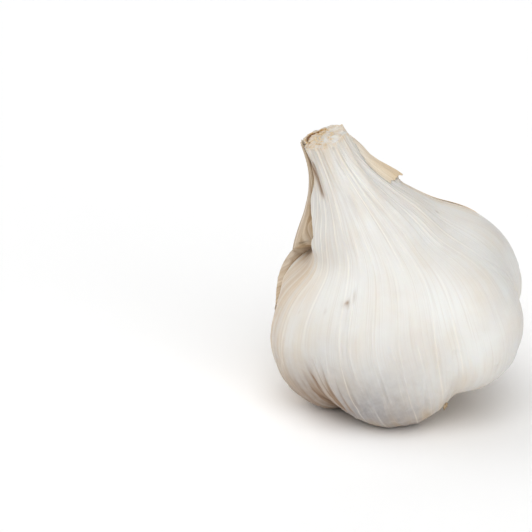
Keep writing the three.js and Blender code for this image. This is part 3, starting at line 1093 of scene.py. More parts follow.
@dataclass(frozen=True)
class VeinGrowth:
    """Geometry Nodes that raise the veins of a skin and write them into its vein attribute.

    The skin's mesh carries flow, which holds the cosine and the sine of the azimuth and the height
    in flow units, girth in millimetres, outward, and lift, a share for the veins' height.
    """

    families: tuple[VeinFamily, ...] = (
        VeinFamily("Strong", 46, 0.16, 0.3, 3.0, 0.5, 1.0, 0.55),
        VeinFamily("Faint", 112, 0.045, 0.24, 41.0, 0.6, 0.5, 0.25),
    )

    def graph(self, name: str) -> Graph:
        """The node group for one skin.

        Args:
            name: the group's name.

        Returns:
            Its graph, which takes a material in too.
        """
        graph = Graph.of_geometry(name)
        flow, girth, lift, outward = (
            graph.read(trait, kind)
            for trait, kind in (
                ("flow", "FLOAT_VECTOR"),
                ("girth", "FLOAT"),
                ("lift", "FLOAT"),
                ("outward", "FLOAT_VECTOR"),
            )
        )
        raised, marks = (
            sum(values)
            for values in zip(*(family.lines(graph, flow, girth) for family in self.families))
        )
        along = graph.add(
            "ShaderNodeVectorMath", {0: outward, "Scale": raised * lift}, operation="SCALE"
        )
        moved = graph.add("GeometryNodeSetPosition", {"Geometry": graph.geometry, "Offset": along})
        stored = graph.add(
            "GeometryNodeStoreNamedAttribute",
            {"Geometry": moved, "Name": "vein", "Value": marks},
            data_type="FLOAT",
            domain="POINT",
        )
        graph.finish_geometry(stored, graph.size("Material", "Material"))
        return graph


# ---- The white skin ----


@dataclass
class Patch:
    """Places on a skin: points in the bulb's own frame, and what each one carries."""

    points: Array
    outward: Array
    azimuth: Array
    girth: Array
    stain: Array
    shade: Array
    lift: Array | float

    def __post_init__(self) -> None:
        """Spreads what is the same for many places over all of them."""
        for name in ("azimuth", "girth", "stain", "shade", "lift"):
            setattr(self, name, np.broadcast_to(getattr(self, name), self.points.shape[:-1]))
        self.outward = np.broadcast_to(self.outward, self.points.shape)

    @classmethod
    def joined(cls, patches: list[Patch]) -> Patch:
        """Patches set one after the other along their rows."""
        names = [each.name for each in fields(cls)]
        return cls(*(np.concatenate([getattr(p, name) for p in patches]) for name in names))

    def traits(self, lay: BulbLay) -> dict[str, Array]:
        """The attributes that the veins and the finishes read.

        Args:
            lay: how the bulb lies.

        Returns:
            One row for each place, by name.
        """
        flow = polar(np.radians(self.azimuth), 1.0, self.points[..., 2] / FLOW_UNIT)
        return {
            "flow": flow.reshape(-1, 3),
            "outward": lay.turn(self.outward).reshape(-1, 3),
            "girth": self.girth.ravel(),
            "stain": np.clip(self.stain, 0.0, 1.0).ravel(),
            "shade": np.clip(self.shade, 0.0, 1.0).ravel(),
            "lift": self.lift.ravel(),
            "vein": np.zeros(self.girth.size),
        }


def make_sheet(name: str, lay: BulbLay, inner: Patch, outer: Patch) -> Piece:
    """Makes a thin closed sheet.

    Args:
        name: the object's name.
        lay: how the bulb lies.
        inner: the grid of places on its inner face.
        outer: the grid on its outer face.

    Returns:
        The object.
    """
    both = Patch.joined([inner, outer])
    points = lay.place(both.points.reshape(-1, 3))
    return make_piece(name, points, sheet_faces(*inner.girth.shape), both.traits(lay))


# The height where the strip at the right of the neck ends, in a tear.
STRIP_END = 56.2
# Azimuths of the skins' free edges by height, and how deep the pocket between them is.
LEFT_FOLD = (
    (46.0, 50.0, 53.0, 56.0, 61.0, 65.0, 69.0, 76.0),
    (206.0, 204.0, 199.0, 191.0, 191.0, 202.0, 206.0, 207.0),
)
LEFT_TEAR = (
    (20.0, 26.0, 30.0, 33.6, 36.0, 38.5, 41.0, 43.0, 45.0)
    + (47.0, 49.0, 51.0, 53.0, 56.0, 61.0, 65.0, 69.0, 76.0),
    (154.0, 170.0, 178.0, 179.0, 168.0, 158.0, 155.0, 159.0, 171.0)
    + (185.0, 196.0, 202.5, 198.5, 190.5, 190.5, 201.0, 205.5, 206.5),
)
POCKET = (
    (30.0, 33.6, 35.7, 37.2, 38.5, 41.0, 43.0, 46.4, 50.0)
    + (54.0, 56.0, 58.0, 60.0, 62.0, 64.2, 66.3, 70.7, 75.0),
    (0.4, 1.9, 3.4, 4.3, 4.6, 4.9, 5.3, 5.4, 4.3, 3.1, 2.7, 2.3, 1.7, 1.5, 1.05, 0.7, 0.55, 0.3),
)
# The rim's rings: how far inwards each is, how far up, which layer it lies on, how rough it is.
RIM_STEPS = (
    (0.16, 0.02, 0.0, 0.08), (0.3, -0.05, 0.0, 0.08), (0.42, -0.75, 0.3, 0.04),
    (0.9, -0.95, 0.4, 0.03), (1.1, -0.4, 0.5, 0.05), (1.25, -0.2, 0.6, 0.06),
    (1.7, -0.16, 0.7, 0.06), (2.3, -0.14, 0.9, 0.05), (3.0, -0.12, 1.1, 0.04),
    (3.8, -0.1, 1.4, 0.03), (4.6, -0.1, 1.7, 0.02),
)  # fmt: skip


@dataclass
class WhiteSkin:
    """The white skin over the cloves, with the front sheet, the hollow and the open neck."""

    form: BulbForm
    lay: BulbLay
    columns: int = 600
    rows: int = 150
    sheet_thick: float = 0.6
    fold_height: float = 0.7
    hollow_depth: float = 0.9
    seat_depth: float = 0.75
    strip_lift: float = 1.9
    shoulder_lift: float = 1.1
    left_lift: float = 2.7
    pleats: float = 15.0
    pleat_height: float = 0.08
    cleft_depth: float = 0.55
    cleft_width: float = 1.5
    cleft_shade_band_width: float = 4.5
    uneven_height: float = 0.12
    crinkle_height: float = 0.035
    dent_depth: float = 0.22
    cup_depth: float = 0.1
    plate_radius: float = 7.95
    plate_top: float = 4.55
    plate_bend: float = 1.4
    foot_drop: float = 7.0
    weathering: Weathering = Weathering(5, own_creases=FRONT_CREASES, own_specks=FRONT_SPECKS)
    veins: VeinGrowth = VeinGrowth()

    def front_edges(self, z: Array) -> tuple[Array, Array]:
        """The azimuths of the front sheet's left and right edges at a height."""
        uneven = Ripple(21, (0, 0), (3.0, 14.0), 9).at(0.0, z)
        return eased(z, LEFT_FOLD) + 0.5 * uneven, 8.0 + 32.0 * ramp(58.0, 54.0, z) - 0.7 * uneven

    @staticmethod
    def hollow_foot(azimuth: Array) -> Array:
        """The height at which the left clove's shoulder turns back under the wrapper."""
        return 42.5 + 9.5 * ramp(165.0, 212.0, azimuth)

    def sheet_parts(self, azimuth: Array, z: Array) -> dict[str, Array]:
        """How fully each place lies on the front sheet, its fold, the hollow and the seat.

        Args:
            azimuth: degrees round the axis.
            z: heights in millimetres.

        Returns:
            A share from 0 to 1 for each of sheet, edge, fold, shoulder, hollow, lip, strip and
            seat.
        """
        left, right = self.front_edges(z)
        past_right, past_left = turn_between(azimuth, right), turn_between(azimuth, left)
        on_sheet = np.where(
            azimuth < 120.0, ramp(1.2, -2.4, past_right), ramp(-2.0, 1.2, past_left)
        )
        in_hollow = ramp(0.5, -4.5, past_left) * ramp(130.0, 155.0, azimuth)
        foot = self.hollow_foot(azimuth)
        return {
            "sheet": on_sheet * ramp(42.0, 54.0, z) * (1.0 - 0.4 * ramp(58.0, 66.0, z)),
            "edge": bell(past_left + 0.6, 2.2) * ramp(48.0, 54.0, z) * (azimuth > 120.0),
            "fold": bell(past_left - 4.0, 6.0) * window(50.0, 56.0, 59.0, 65.0, z),
            "shoulder": facing(azimuth, 201.0, 10.0) * bell(z - 49.0, 3.2),
            "hollow": in_hollow * ramp(foot - 0.5, foot + 4.5, z) * ramp(73.0, 64.0, z),
            "lip": in_hollow * bell(z - foot - 0.5, 1.8),
            "strip": facing(azimuth, 20.0, 13.0)
            * window(STRIP_END, STRIP_END + 1.2, 67.0, 75.0, z),
            "seat": ramp(1.0, -5.0, past_left) * ramp(4.0, 10.0, azimuth) * ramp(58.0, 66.0, z),
        }

    def patch(self, azimuth: Array, share: Array) -> Patch:
        """Works out places on the skin, with all its relief but the veins.

        Args:
            azimuth: degrees round the axis.
            share: how far up the skin.

        Returns:
            The places.
        """
        azimuth, share = np.broadcast_arrays(azimuth % 360.0, share)
        rays = self.form.walk(azimuth, share)
        base, girth = rays.at(rays.reach), rays.girth()
        z = base[..., 2]
        parts = self.sheet_parts(azimuth, z)
        far = np.sort([c.outside(*np.moveaxis(base, -1, 0)) for c in self.form.cloves], axis=0)
        # The clefts between the cloves are sunk, and darkened with painted shade: a narrow dark
        # line and a wider band mixed brown, both weaker at the right cleft.
        cleft = bell(far[1] - far[0], self.cleft_width) * ramp(30.0, 14.0, z)
        cleft_shade_band = bell(far[1] - far[0], self.cleft_shade_band_width) * ramp(34.0, 10.0, z)
        right_cleft = facing(azimuth, 295.0, 16.0)
        # The left side below the shoulder gets painted shade, for the light that falls off there,
        # and is mixed tan.
        left_side = facing(azimuth, 186.0, 26.0) * ramp(52.0, 44.0, z)
        pleat = np.cos(self.pleats * np.radians(azimuth)) * ramp(42.0, 58.0, z)
        uneven = Ripple(8, (3, 14), (9.0, 40.0)).at(azimuth, z)
        crinkle = Ripple(9, (18, 52), (6.0, 22.0), 26).at(azimuth, z)
        crinkle = crinkle * (0.5 + 0.5 * ramp(36.0, 60.0, z) + ramp(20.0, 6.0, z))
        dents = np.clip(Ripple(12, (6, 22), (5.0, 14.0)).at(azimuth, z) - 1.0, 0.0, 1.2)
        lift = (
            self.sheet_thick * parts["sheet"]
            + self.fold_height * parts["fold"]
            - self.hollow_depth * parts["hollow"]
            - self.seat_depth * parts["seat"]
            + self.strip_lift * parts["strip"]
            + self.shoulder_lift * parts["shoulder"]
            + self.left_lift * facing(azimuth, 170.0, 19.0) * bell(z - 39.2, 3.6)
            + self.pleat_height * pleat
            - self.cleft_depth * cleft * (1.0 - 0.6 * right_cleft)
            + self.uneven_height * uneven
            + self.crinkle_height * crinkle
            - self.dent_depth * dents * ramp(34.0, 22.0, z)
        )
        stain = (
            0.05
            + 0.04 * uneven
            + 0.4 * parts["hollow"]
            + 0.12 * parts["lip"]
            + 0.7 * window(165.0, 180.0, 204.0, 214.0, azimuth) * ramp(60.0, 68.0, z)
            + 0.35 * parts["edge"]
            + 0.16 * ramp(62.0, 74.0, z)
            + 0.25 * ramp(72.6, 74.4, z)
            + 0.25 * cleft_shade_band * (1.0 - 0.7 * right_cleft)
            + 0.3 * ramp(9.0, 3.0, z)
            + 0.5 * left_side
            + 0.6 * facing(azimuth, 26.0, 17.0) * window(38.0, 44.0, 56.0, 64.0, z)
        )
        shade = (
            0.36 * left_side
            + 0.42 * cleft * (1.0 - 0.7 * right_cleft)
            + 0.5 * parts["lip"] * ramp(0.0, 1.5, z - self.hollow_foot(azimuth))
            + 0.3 * parts["hollow"] * facing(azimuth, 190.0, 16.0)
            + 0.42 * facing(azimuth, 215.0, 26.0) * ramp(27.0, 11.0, z)
            + 0.25 * ramp(6.0, 2.0, z)
        )
        lift, shade = self.weathering.crease((azimuth, z, girth), lift, shade)
        shade = self.weathering.speckle((azimuth, z, girth), shade)

        points = rays.at(rays.reach + lift)
        from_axis = np.hypot(points[..., 0], points[..., 1])
        beyond = ramp(self.plate_radius, self.plate_radius + self.plate_bend, from_axis)
        points[..., 2] = np.maximum(points[..., 2], self.plate_top - self.foot_drop * beyond)
        vein_lift = ramp(3.0, 9.0, z) * (1.0 - 0.7 * parts["hollow"])
        vein_lift = vein_lift * (1.0 - 0.45 * ramp(52.0, 66.0, z))
        vein_lift = vein_lift * (1.0 - 0.4 * window(26.0, 32.0, 38.0, 46.0, z))
        return Patch(points, rays.direction, azimuth, girth, stain, shade, vein_lift)

    def rim(self, body: Patch) -> list[Patch]:
        """The rings from the neck's cut edge over its layers and down inside it.

        Args:
            body: the skin's grid, with the cut edge as its last row.

        Returns:
            Rings that follow the edge, the last of them on the mouth's floor.
        """
        form, azimuth, edge = self.form, body.azimuth[-1:], body.points[-1:]
        radius = np.hypot(edge[..., 0] - form.mouth_x, edge[..., 1])
        turn = np.arctan2(edge[..., 1], edge[..., 0] - form.mouth_x)
        ragged = Ripple(31, (2, 11), (5.0, 9.0), 14)
        far_left = facing(azimuth, 140.0, 75.0)
        rings = []
        for inwards, drop, layer, rough in RIM_STEPS:
            r = np.maximum(radius - inwards, 0.4)
            z = form.height + form.tip(azimuth) * max(0.0, 1.0 - 0.5 * layer) + form.cut(azimuth, r)
            z = z + rough * ragged.at(azimuth + 40.0 * layer, 7.0 * layer)
            z = z + drop * (0.15 + 0.85 * far_left)
            tan = 0.25 + 0.65 * far_left * ramp(4.4, 1.0, inwards)
            tan = tan + 0.5 * facing(azimuth, 205.0, 28.0) + 0.16 * ragged.at(azimuth, 4.0 * layer)
            # Painted shade on the mouth's far left: just inside the cut edge and on the rings that
            # drop deepest.
            dark = (0.3 * ramp(1.0, 0.3, inwards) + 0.6 * ramp(-0.3, -0.7, drop)) * far_left
            points = polar(turn, r, z, form.mouth_x)
            rings.append(Patch(points, body.outward[-1:], azimuth, r, tan, 0.02 + dark, 0.0))
        return rings

    def build(self, material: Material) -> Piece:
        """Makes the skin, grows its veins and gives it its finish.

        Args:
            material: the papery white finish.

        Returns:
            The finished object.
        """
        form = self.form
        azimuth = np.arange(self.columns)[None, :] * 360.0 / self.columns
        share = np.linspace(0.0, 1.0, self.rows)[:, None]
        body = self.patch(azimuth, share)
        ragged = Ripple(33, (2, 13), (5.0, 9.0), 14).at(azimuth, 0.0)
        cut = form.tip(azimuth) + form.cut(azimuth, form.neck_radius) + 0.1 * ragged
        body.points[..., 2] += ramp(0.975, 1.0, share) * cut
        whole = Patch.joined([body, *self.rim(body)])
        mouth = (form.mouth_x, 0.0, form.height - self.cup_depth)
        ends = np.array([(0.0, 0.0, self.plate_top), mouth])
        points = np.concatenate([ends[:1], whole.points.reshape(-1, 3), ends[1:]])
        traits = {
            name: np.concatenate([values[:1], values, values[-1:]])
            for name, values in whole.traits(self.lay).items()
        }
        faces = ring_faces(*whole.girth.shape)
        piece = make_piece("white_skin_bulb", self.lay.place(points), faces, traits)
        return grow(piece, self.veins.graph("bulb_veins"), {"Material": material})


# ---- The outer wrapper ----


@dataclass
class OuterWrapper:
    """The torn tan skin round the back, with a long left part and a strip down the right."""

    skin: WhiteSkin
    columns: int = 380
    rows: int = 112
    thick: float = 0.18
    thin: float = 0.06
    off: float = 0.55
    air: float = 0.16
    looser: float = 1.0
    hem: float = 0.3
    tear: float = 0.19
    tear_rise: float = 0.513
    tear_top: float = 0.775
    hem_waves: tuple[tuple[float, float, float], ...] = (
        (0.016, 29.0, 0.0), (0.01, 67.0, 0.0), (0.005, 151.0, 1.0), (0.003, 337.0, 0.0)
    )  # fmt: skip
    top_waves: tuple[tuple[float, float, float], ...] = ((0.22, 83.0, 0.0), (0.16, 211.0, 2.0))
    spacing: Table = ((0.0, 0.14, 0.4, 1.0), (0.0, 0.18, 0.27, 1.0))
    weathering: Weathering = Weathering(17, 40, 40, 26, relief=0.6, dark=1.3)
    veins: VeinGrowth = VeinGrowth()

    def edges(self, across: Array, z: Array) -> tuple[Array, Array]:
        """Where the right and left free edges are, ragged only close to each of them.

        Args:
            across: how far across the wrapper, from 0 at the right edge to 1 at the left.
            z: heights in millimetres.

        Returns:
            The azimuths of the right and of the left edge.
        """
        torn, frayed = Ripple(44, (0, 0), (6.0, 22.0), 9), Ripple(45, (0, 0), (0.9, 3.5), 14)
        on_right = 0.9 * torn.at(0.0, z) + 0.4 * frayed.at(0.0, z)
        on_left = (0.3 + 0.8 * ramp(48.0, 42.0, z)) * torn.at(0.0, z + 31.0)
        on_left = on_left + 0.25 * frayed.at(0.0, z + 31.0)
        right = 8.0 - 24.0 * ramp(71.0, 63.0, z) + on_right * ramp(0.12, 0.02, across)
        return right, eased(z, LEFT_TEAR) + on_left * ramp(0.55, 0.9, across)

    def span(self, across: Array) -> tuple[Array, Array]:
        """How far down and up the wrapper goes.

        Args:
            across: how far across the wrapper, from 0 at the right edge to 1 at the left.

        Returns:
            Its lowest and its highest share.
        """
        form, torn = self.skin.form, ramp(0.25, self.tear, across)
        bottom = self.hem + self.tear_rise * torn
        bottom = bottom + waved(across, self.hem_waves) * (1.0 - 0.75 * torn)
        level = 70.5 + 3.4 * ramp(0.0, 0.25, across) + waved(across, self.top_waves)
        below = (form.height - level) / (form.height - form.belly_up)
        return bottom, 1.0 - below * (1.0 - form.belly_share)

    def stand_off(self, azimuth: Array, z: Array) -> Array:
        """How far the wrapper stands off the form that its own slack gives.

        Args:
            azimuth: degrees round the axis.
            z: heights in millimetres.

        Returns:
            Millimetres.
        """
        bulge = 2.0 * facing(azimuth, 19.0, 13.0) * ramp(31.0, 19.0, azimuth)
        bulge = bulge * window(STRIP_END - 1.0, STRIP_END + 0.2, 64.0, 72.0, z)
        at_neck = 0.75 * ramp(60.0, 68.0, z) * ramp(4.0, 12.0, azimuth)
        return self.off + 0.6 * ramp(14.0, 2.0, azimuth) - at_neck + bulge

    def build(self, material: Material) -> Piece:
        """Makes the wrapper, grows its veins and gives it its finish.

        Args:
            material: the tan papery finish.

        Returns:
            The finished object.
        """
        form = self.skin.form
        across = np.interp(np.linspace(0.0, 1.0, self.columns), *self.spacing)[None, :]
        bottom, top = self.span(across)
        share = bottom + (top - bottom) * np.linspace(0.0, 1.0, self.rows)[:, None]
        behind = form.walk(np.full(share.shape, 90.0), share, self.looser)
        right, left = self.edges(across, behind.at(behind.reach)[..., 2])
        azimuth = right + (left - right) * across
        rays = form.walk(azimuth, share, self.looser)
        z, girth = rays.at(rays.reach)[..., 2], rays.girth()
        width = np.radians(left - right) * girth
        from_right, from_left = across * width, (1.0 - across) * width
        beyond_tear = np.maximum((across - self.tear) * width, 0.0)
        from_foot = np.minimum(
            (share - bottom) * SHARE_LENGTH, np.where(share < self.tear_top, beyond_tear, np.inf)
        )
        from_lip = z - self.skin.hollow_foot(azimuth) + 40.0 * ramp(184.0, 170.0, azimuth)
        from_tuck = np.minimum(from_left, np.maximum(from_lip, 0.0))

        crumple = 0.1 * Ripple(51, (4, 20), (8.0, 30.0)).at(azimuth, z)
        crumple = crumple + 0.06 * Ripple(52, (20, 60), (4.0, 16.0), 26).at(azimuth, z)
        inner = rays.reach + self.stand_off(azimuth, z) + self.air + np.clip(crumple, -0.12, 0.3)
        gap = (eased(z, POCKET) - self.thick) * window(108.0, 154.0, 166.0, 206.0, azimuth)
        peeled = form.walk(azimuth, share).reach + 0.15 + gap
        inner = inner + (peeled - inner) * ramp(98.0, 140.0, azimuth) * ramp(29.0, 34.0, z)
        bound = 1.0 - ramp(30.0, 34.0, z) * ramp(100.0, 130.0, azimuth)
        off_strip = np.maximum(ramp(22.0, 27.0, azimuth), ramp(STRIP_END, STRIP_END - 0.8, z))
        clings = np.maximum.reduce(
            [
                ramp(2.4, 0.2, from_left) * window(31.0, 35.0, 53.0, 58.0, z),
                ramp(6.0, 0.2, from_lip) * window(31.0, 35.0, 54.0, 62.0, z),
                ramp(7.0, 0.5, from_right),
                ramp(9.0, 0.5, from_left) * bound,
                0.8 * ramp(5.0, 0.5, from_foot) * bound * off_strip,
                ramp(105.0, 60.0, azimuth) * ramp(60.5, 57.5, z) * off_strip,
            ]
        )
        under = np.linalg.norm(self.skin.patch(azimuth, share).points - rays.origin, axis=-1)
        clear = under + 0.1 + 0.12 * ramp(80.0, 50.0, azimuth) * off_strip
        inner = inner + (clear - inner) * clings

        strip = facing(azimuth, 22.0, 22.0)
        # Painted shade: a dark line along the tucked left edge, over the part tucked into the
        # pocket, and by the crevice at the left fold, where the brown stain is painted shade as
        # well.
        tucked = ramp(130.0, 158.0, azimuth) * ramp(20.0, 33.0, z)
        crevice_shade = bell(from_left, 2.4) * window(43.0, 47.0, 57.0, 62.0, z)
        shade = 0.03 + 0.25 * strip + 0.5 * bell(from_tuck, 0.7) * ramp(33.0, 36.0, z)
        shade = shade + 0.5 * tucked + 0.12 * crevice_shade
        inner, shade = self.weathering.crease((azimuth, z, girth), inner, shade)
        inner = np.maximum(inner, clear)
        shade = self.weathering.speckle((azimuth, z, girth), shade)
        patches = Ripple(61, (2, 9), (14.0, 50.0)).at(azimuth, z)
        stain = 0.45 + 0.14 * patches + 0.2 * ramp(60.0, 74.0, z) + 0.2 * bell(from_left, 2.0)
        stain = stain - 0.2 * tucked + 0.5 * crevice_shade + 0.4 * bell(from_foot, 1.6) + 0.2 * strip
        stain = stain * ramp(-0.5, 4.0, from_right)

        from_edge = np.minimum.reduce([from_left, from_right, from_foot])
        outer = inner + self.thin + (self.thick - self.thin) * ramp(0.0, 1.4, from_edge)
        vein_lift = 0.9 * ramp(0.3, 1.8, from_edge)
        piece = make_sheet(
            "outer_wrapper_skin",
            self.skin.lay,
            Patch(rays.at(inner), rays.direction, azimuth, girth, 0.25 * stain, 0.3 * shade, 0.0),
            Patch(rays.at(outer), rays.direction, azimuth, girth, stain, shade, vein_lift),
        )
        return grow(piece, self.veins.graph("wrapper_veins"), {"Material": material})


# ---- The dried neck ----


@dataclass(frozen=True)
class LeafRoll:
    """One dried leaf base in the neck's mouth, a thin band along a spiral."""

    name: str
    first_radius: float
    pitch: float
    turns: float
    start: float
    aside: tuple[float, float]
    foot: float
    top: float
    thick: float
    stain: float
    seed: int
    shade_left: float = 0.0
    slope: float = 0.05


@dataclass
class NeckSheaths:
    """The dried leaf bases rolled in the neck's mouth."""

    form: BulbForm
    lay: BulbLay
    rolls: tuple[LeafRoll, ...] = (
        LeafRoll("neck_sheath_roll", 0.6, 1.1, 1.85, 20.0, (0.5, 0.0), -1.6, -0.02, 0.7, 0.25, 71),
        LeafRoll("neck_leaf_far", 3.75, 0.1, 0.42, 70.0, (0.1, 0.1), -1.5, -0.1, 0.3, 0.8, 72, 0.9),
        LeafRoll("neck_leaf_near", 3.3, 0.3, 0.4, 215.0, (0.2, 0.0), -1.5, -0.05, 0.4, 0.5, 73),
    )
    steps: int = 230
    rows: int = 30

    def build(self, material: Material) -> list[Piece]:
        """Makes every leaf base in the dried leaf finish, the rolled one first."""
        return [self.roll(leaf, material) for leaf in self.rolls]

    def roll(self, leaf: LeafRoll, material: Material) -> Piece:
        """Makes one leaf base as a closed thin sheet.

        Args:
            leaf: its sizes.
            material: the dried leaf finish.

        Returns:
            The object.
        """
        form = self.form
        along = np.linspace(0.0, 1.0, self.steps)[None, :]
        row = np.linspace(0.0, 1.0, self.rows)[:, None]
        angle = leaf.start + 360.0 * leaf.turns * along
        turn = np.radians(angle)
        wobble = Ripple(leaf.seed, (1, 5), (9.0, 30.0), 10).at(angle, 8.0 * row)
        ragged = Ripple(leaf.seed + 7, (2, 9), (5.0, 9.0), 12).at(angle, 0.0)
        crinkle = 0.05 * Ripple(leaf.seed + 3, (10, 40), (6.0, 20.0)).at(angle, 8.0 * row)
        radius = leaf.first_radius + leaf.pitch * leaf.turns * along + 0.12 * wobble
        top = leaf.top + leaf.slope * np.cos(np.radians(angle - 60.0)) + 0.06 * ragged
        top = top + form.cut(angle, radius) + form.tip(angle) * radius / form.neck_radius
        top = top - 0.4 * (ramp(0.06, 0.0, along) + ramp(0.94, 1.0, along))
        z = form.height + leaf.foot + (top - leaf.foot) * row
        left = facing(angle, 150.0, 60.0)
        stain = leaf.stain + 0.2 * ramp(0.86, 1.0, row) + 0.1 * wobble + 0.2 * left
        shade = leaf.shade_left * left + 0.05 * ramp(0.5, 0.0, row)
        middle, outward, faces = form.mouth_x + leaf.aside[0], polar(turn, 1.0, 0.0), []
        for offset in (0.0, leaf.thick):
            points = polar(turn, radius + crinkle + offset, z, middle, leaf.aside[1])
            faces.append(Patch(points, outward, angle, radius, stain, shade, 0.0))
        piece = make_sheet(leaf.name, self.lay, *faces)
        piece.data.materials.append(material)
        return piece


# ---- Torn flakes ----


@dataclass(frozen=True)
class Flake:
    """One torn scrap of skin that still clings to the bulb."""

    name: str
    azimuth: float
    share: float
    across: float
    along: float
    seed: int
    off: float = 0.2
    curl: float = 0.5
    thick: float = 0.14


@dataclass
class TornFlakes:
    """The scraps of outer skin that cling near the root plate."""

    skin: WhiteSkin
    flakes: tuple[Flake, ...] = (
        Flake("flake_root_front", 295.0, 0.19, 1.3, 1.7, 81),
        Flake("flake_root_left", 262.8, 0.118, 1.1, 1.6, 82),
    )
    size: int = 26

    def build(self, material: Material) -> list[Piece]:
        """Makes every scrap in the tan papery finish."""
        return [self.scrap(flake, material) for flake in self.flakes]

    def scrap(self, flake: Flake, material: Material) -> Piece:
        """Makes one scrap as a closed thin sheet whose lower edge curls away from the skin.

        Args:
            flake: its place and sizes.
            material: the tan papery finish.

        Returns:
            The object.
        """
        u = np.linspace(-1.0, 1.0, self.size)[None, :]
        v = np.linspace(0.0, 1.0, self.size)[:, None]
        waves = Ripple(flake.seed, (2, 9), (5.0, 9.0), 12)
        narrow = 0.55 + 0.45 * np.sin(math.pi * (0.15 + 0.8 * v)) + 0.12 * waves.at(300.0 * v, 0.0)
        long = 1.0 + 0.2 * waves.at(160.0 * u, 3.0)
        here = self.skin.patch(np.array([flake.azimuth]), np.array([flake.share]))
        azimuth = flake.azimuth + np.degrees(flake.across / 2.0 / here.girth) * u * narrow
        share = flake.share + (flake.along / SHARE_LENGTH) * (v - 0.5) * long
        patch = self.skin.patch(azimuth, share)
        away = flake.off + flake.curl * (1.0 - v) ** 2 + 0.12 * waves.at(120.0 * u, 9.0 * v)
        shade = 0.3 + 0.35 * (1.0 - v) + 0.1 * waves.at(90.0 * u, 5.0 * v)
        faces = []
        for offset in (0.0, flake.thick):
            points = patch.points + patch.outward * (away + offset)[..., None]
            faces.append(replace(patch, points=points, stain=0.9, shade=shade, lift=0.0))
        piece = make_sheet(flake.name, self.skin.lay, *faces)
        piece.data.materials.append(material)
        return piece


# ---- The root plate ----


# The plate's outline from its middle below to its middle above: share of the radius, height.
PLATE_PROFILE = (
    (0.1, 0.35), (0.25, 0.3), (0.4, 0.22), (0.55, 0.2), (0.7, 0.24), (0.84, 0.36),
    (0.94, 0.55), (1.0, 1.0), (1.0, 1.3), (0.97, 1.62), (0.9, 1.7), (0.6, 1.7), (0.3, 1.7),
)  # fmt: skip


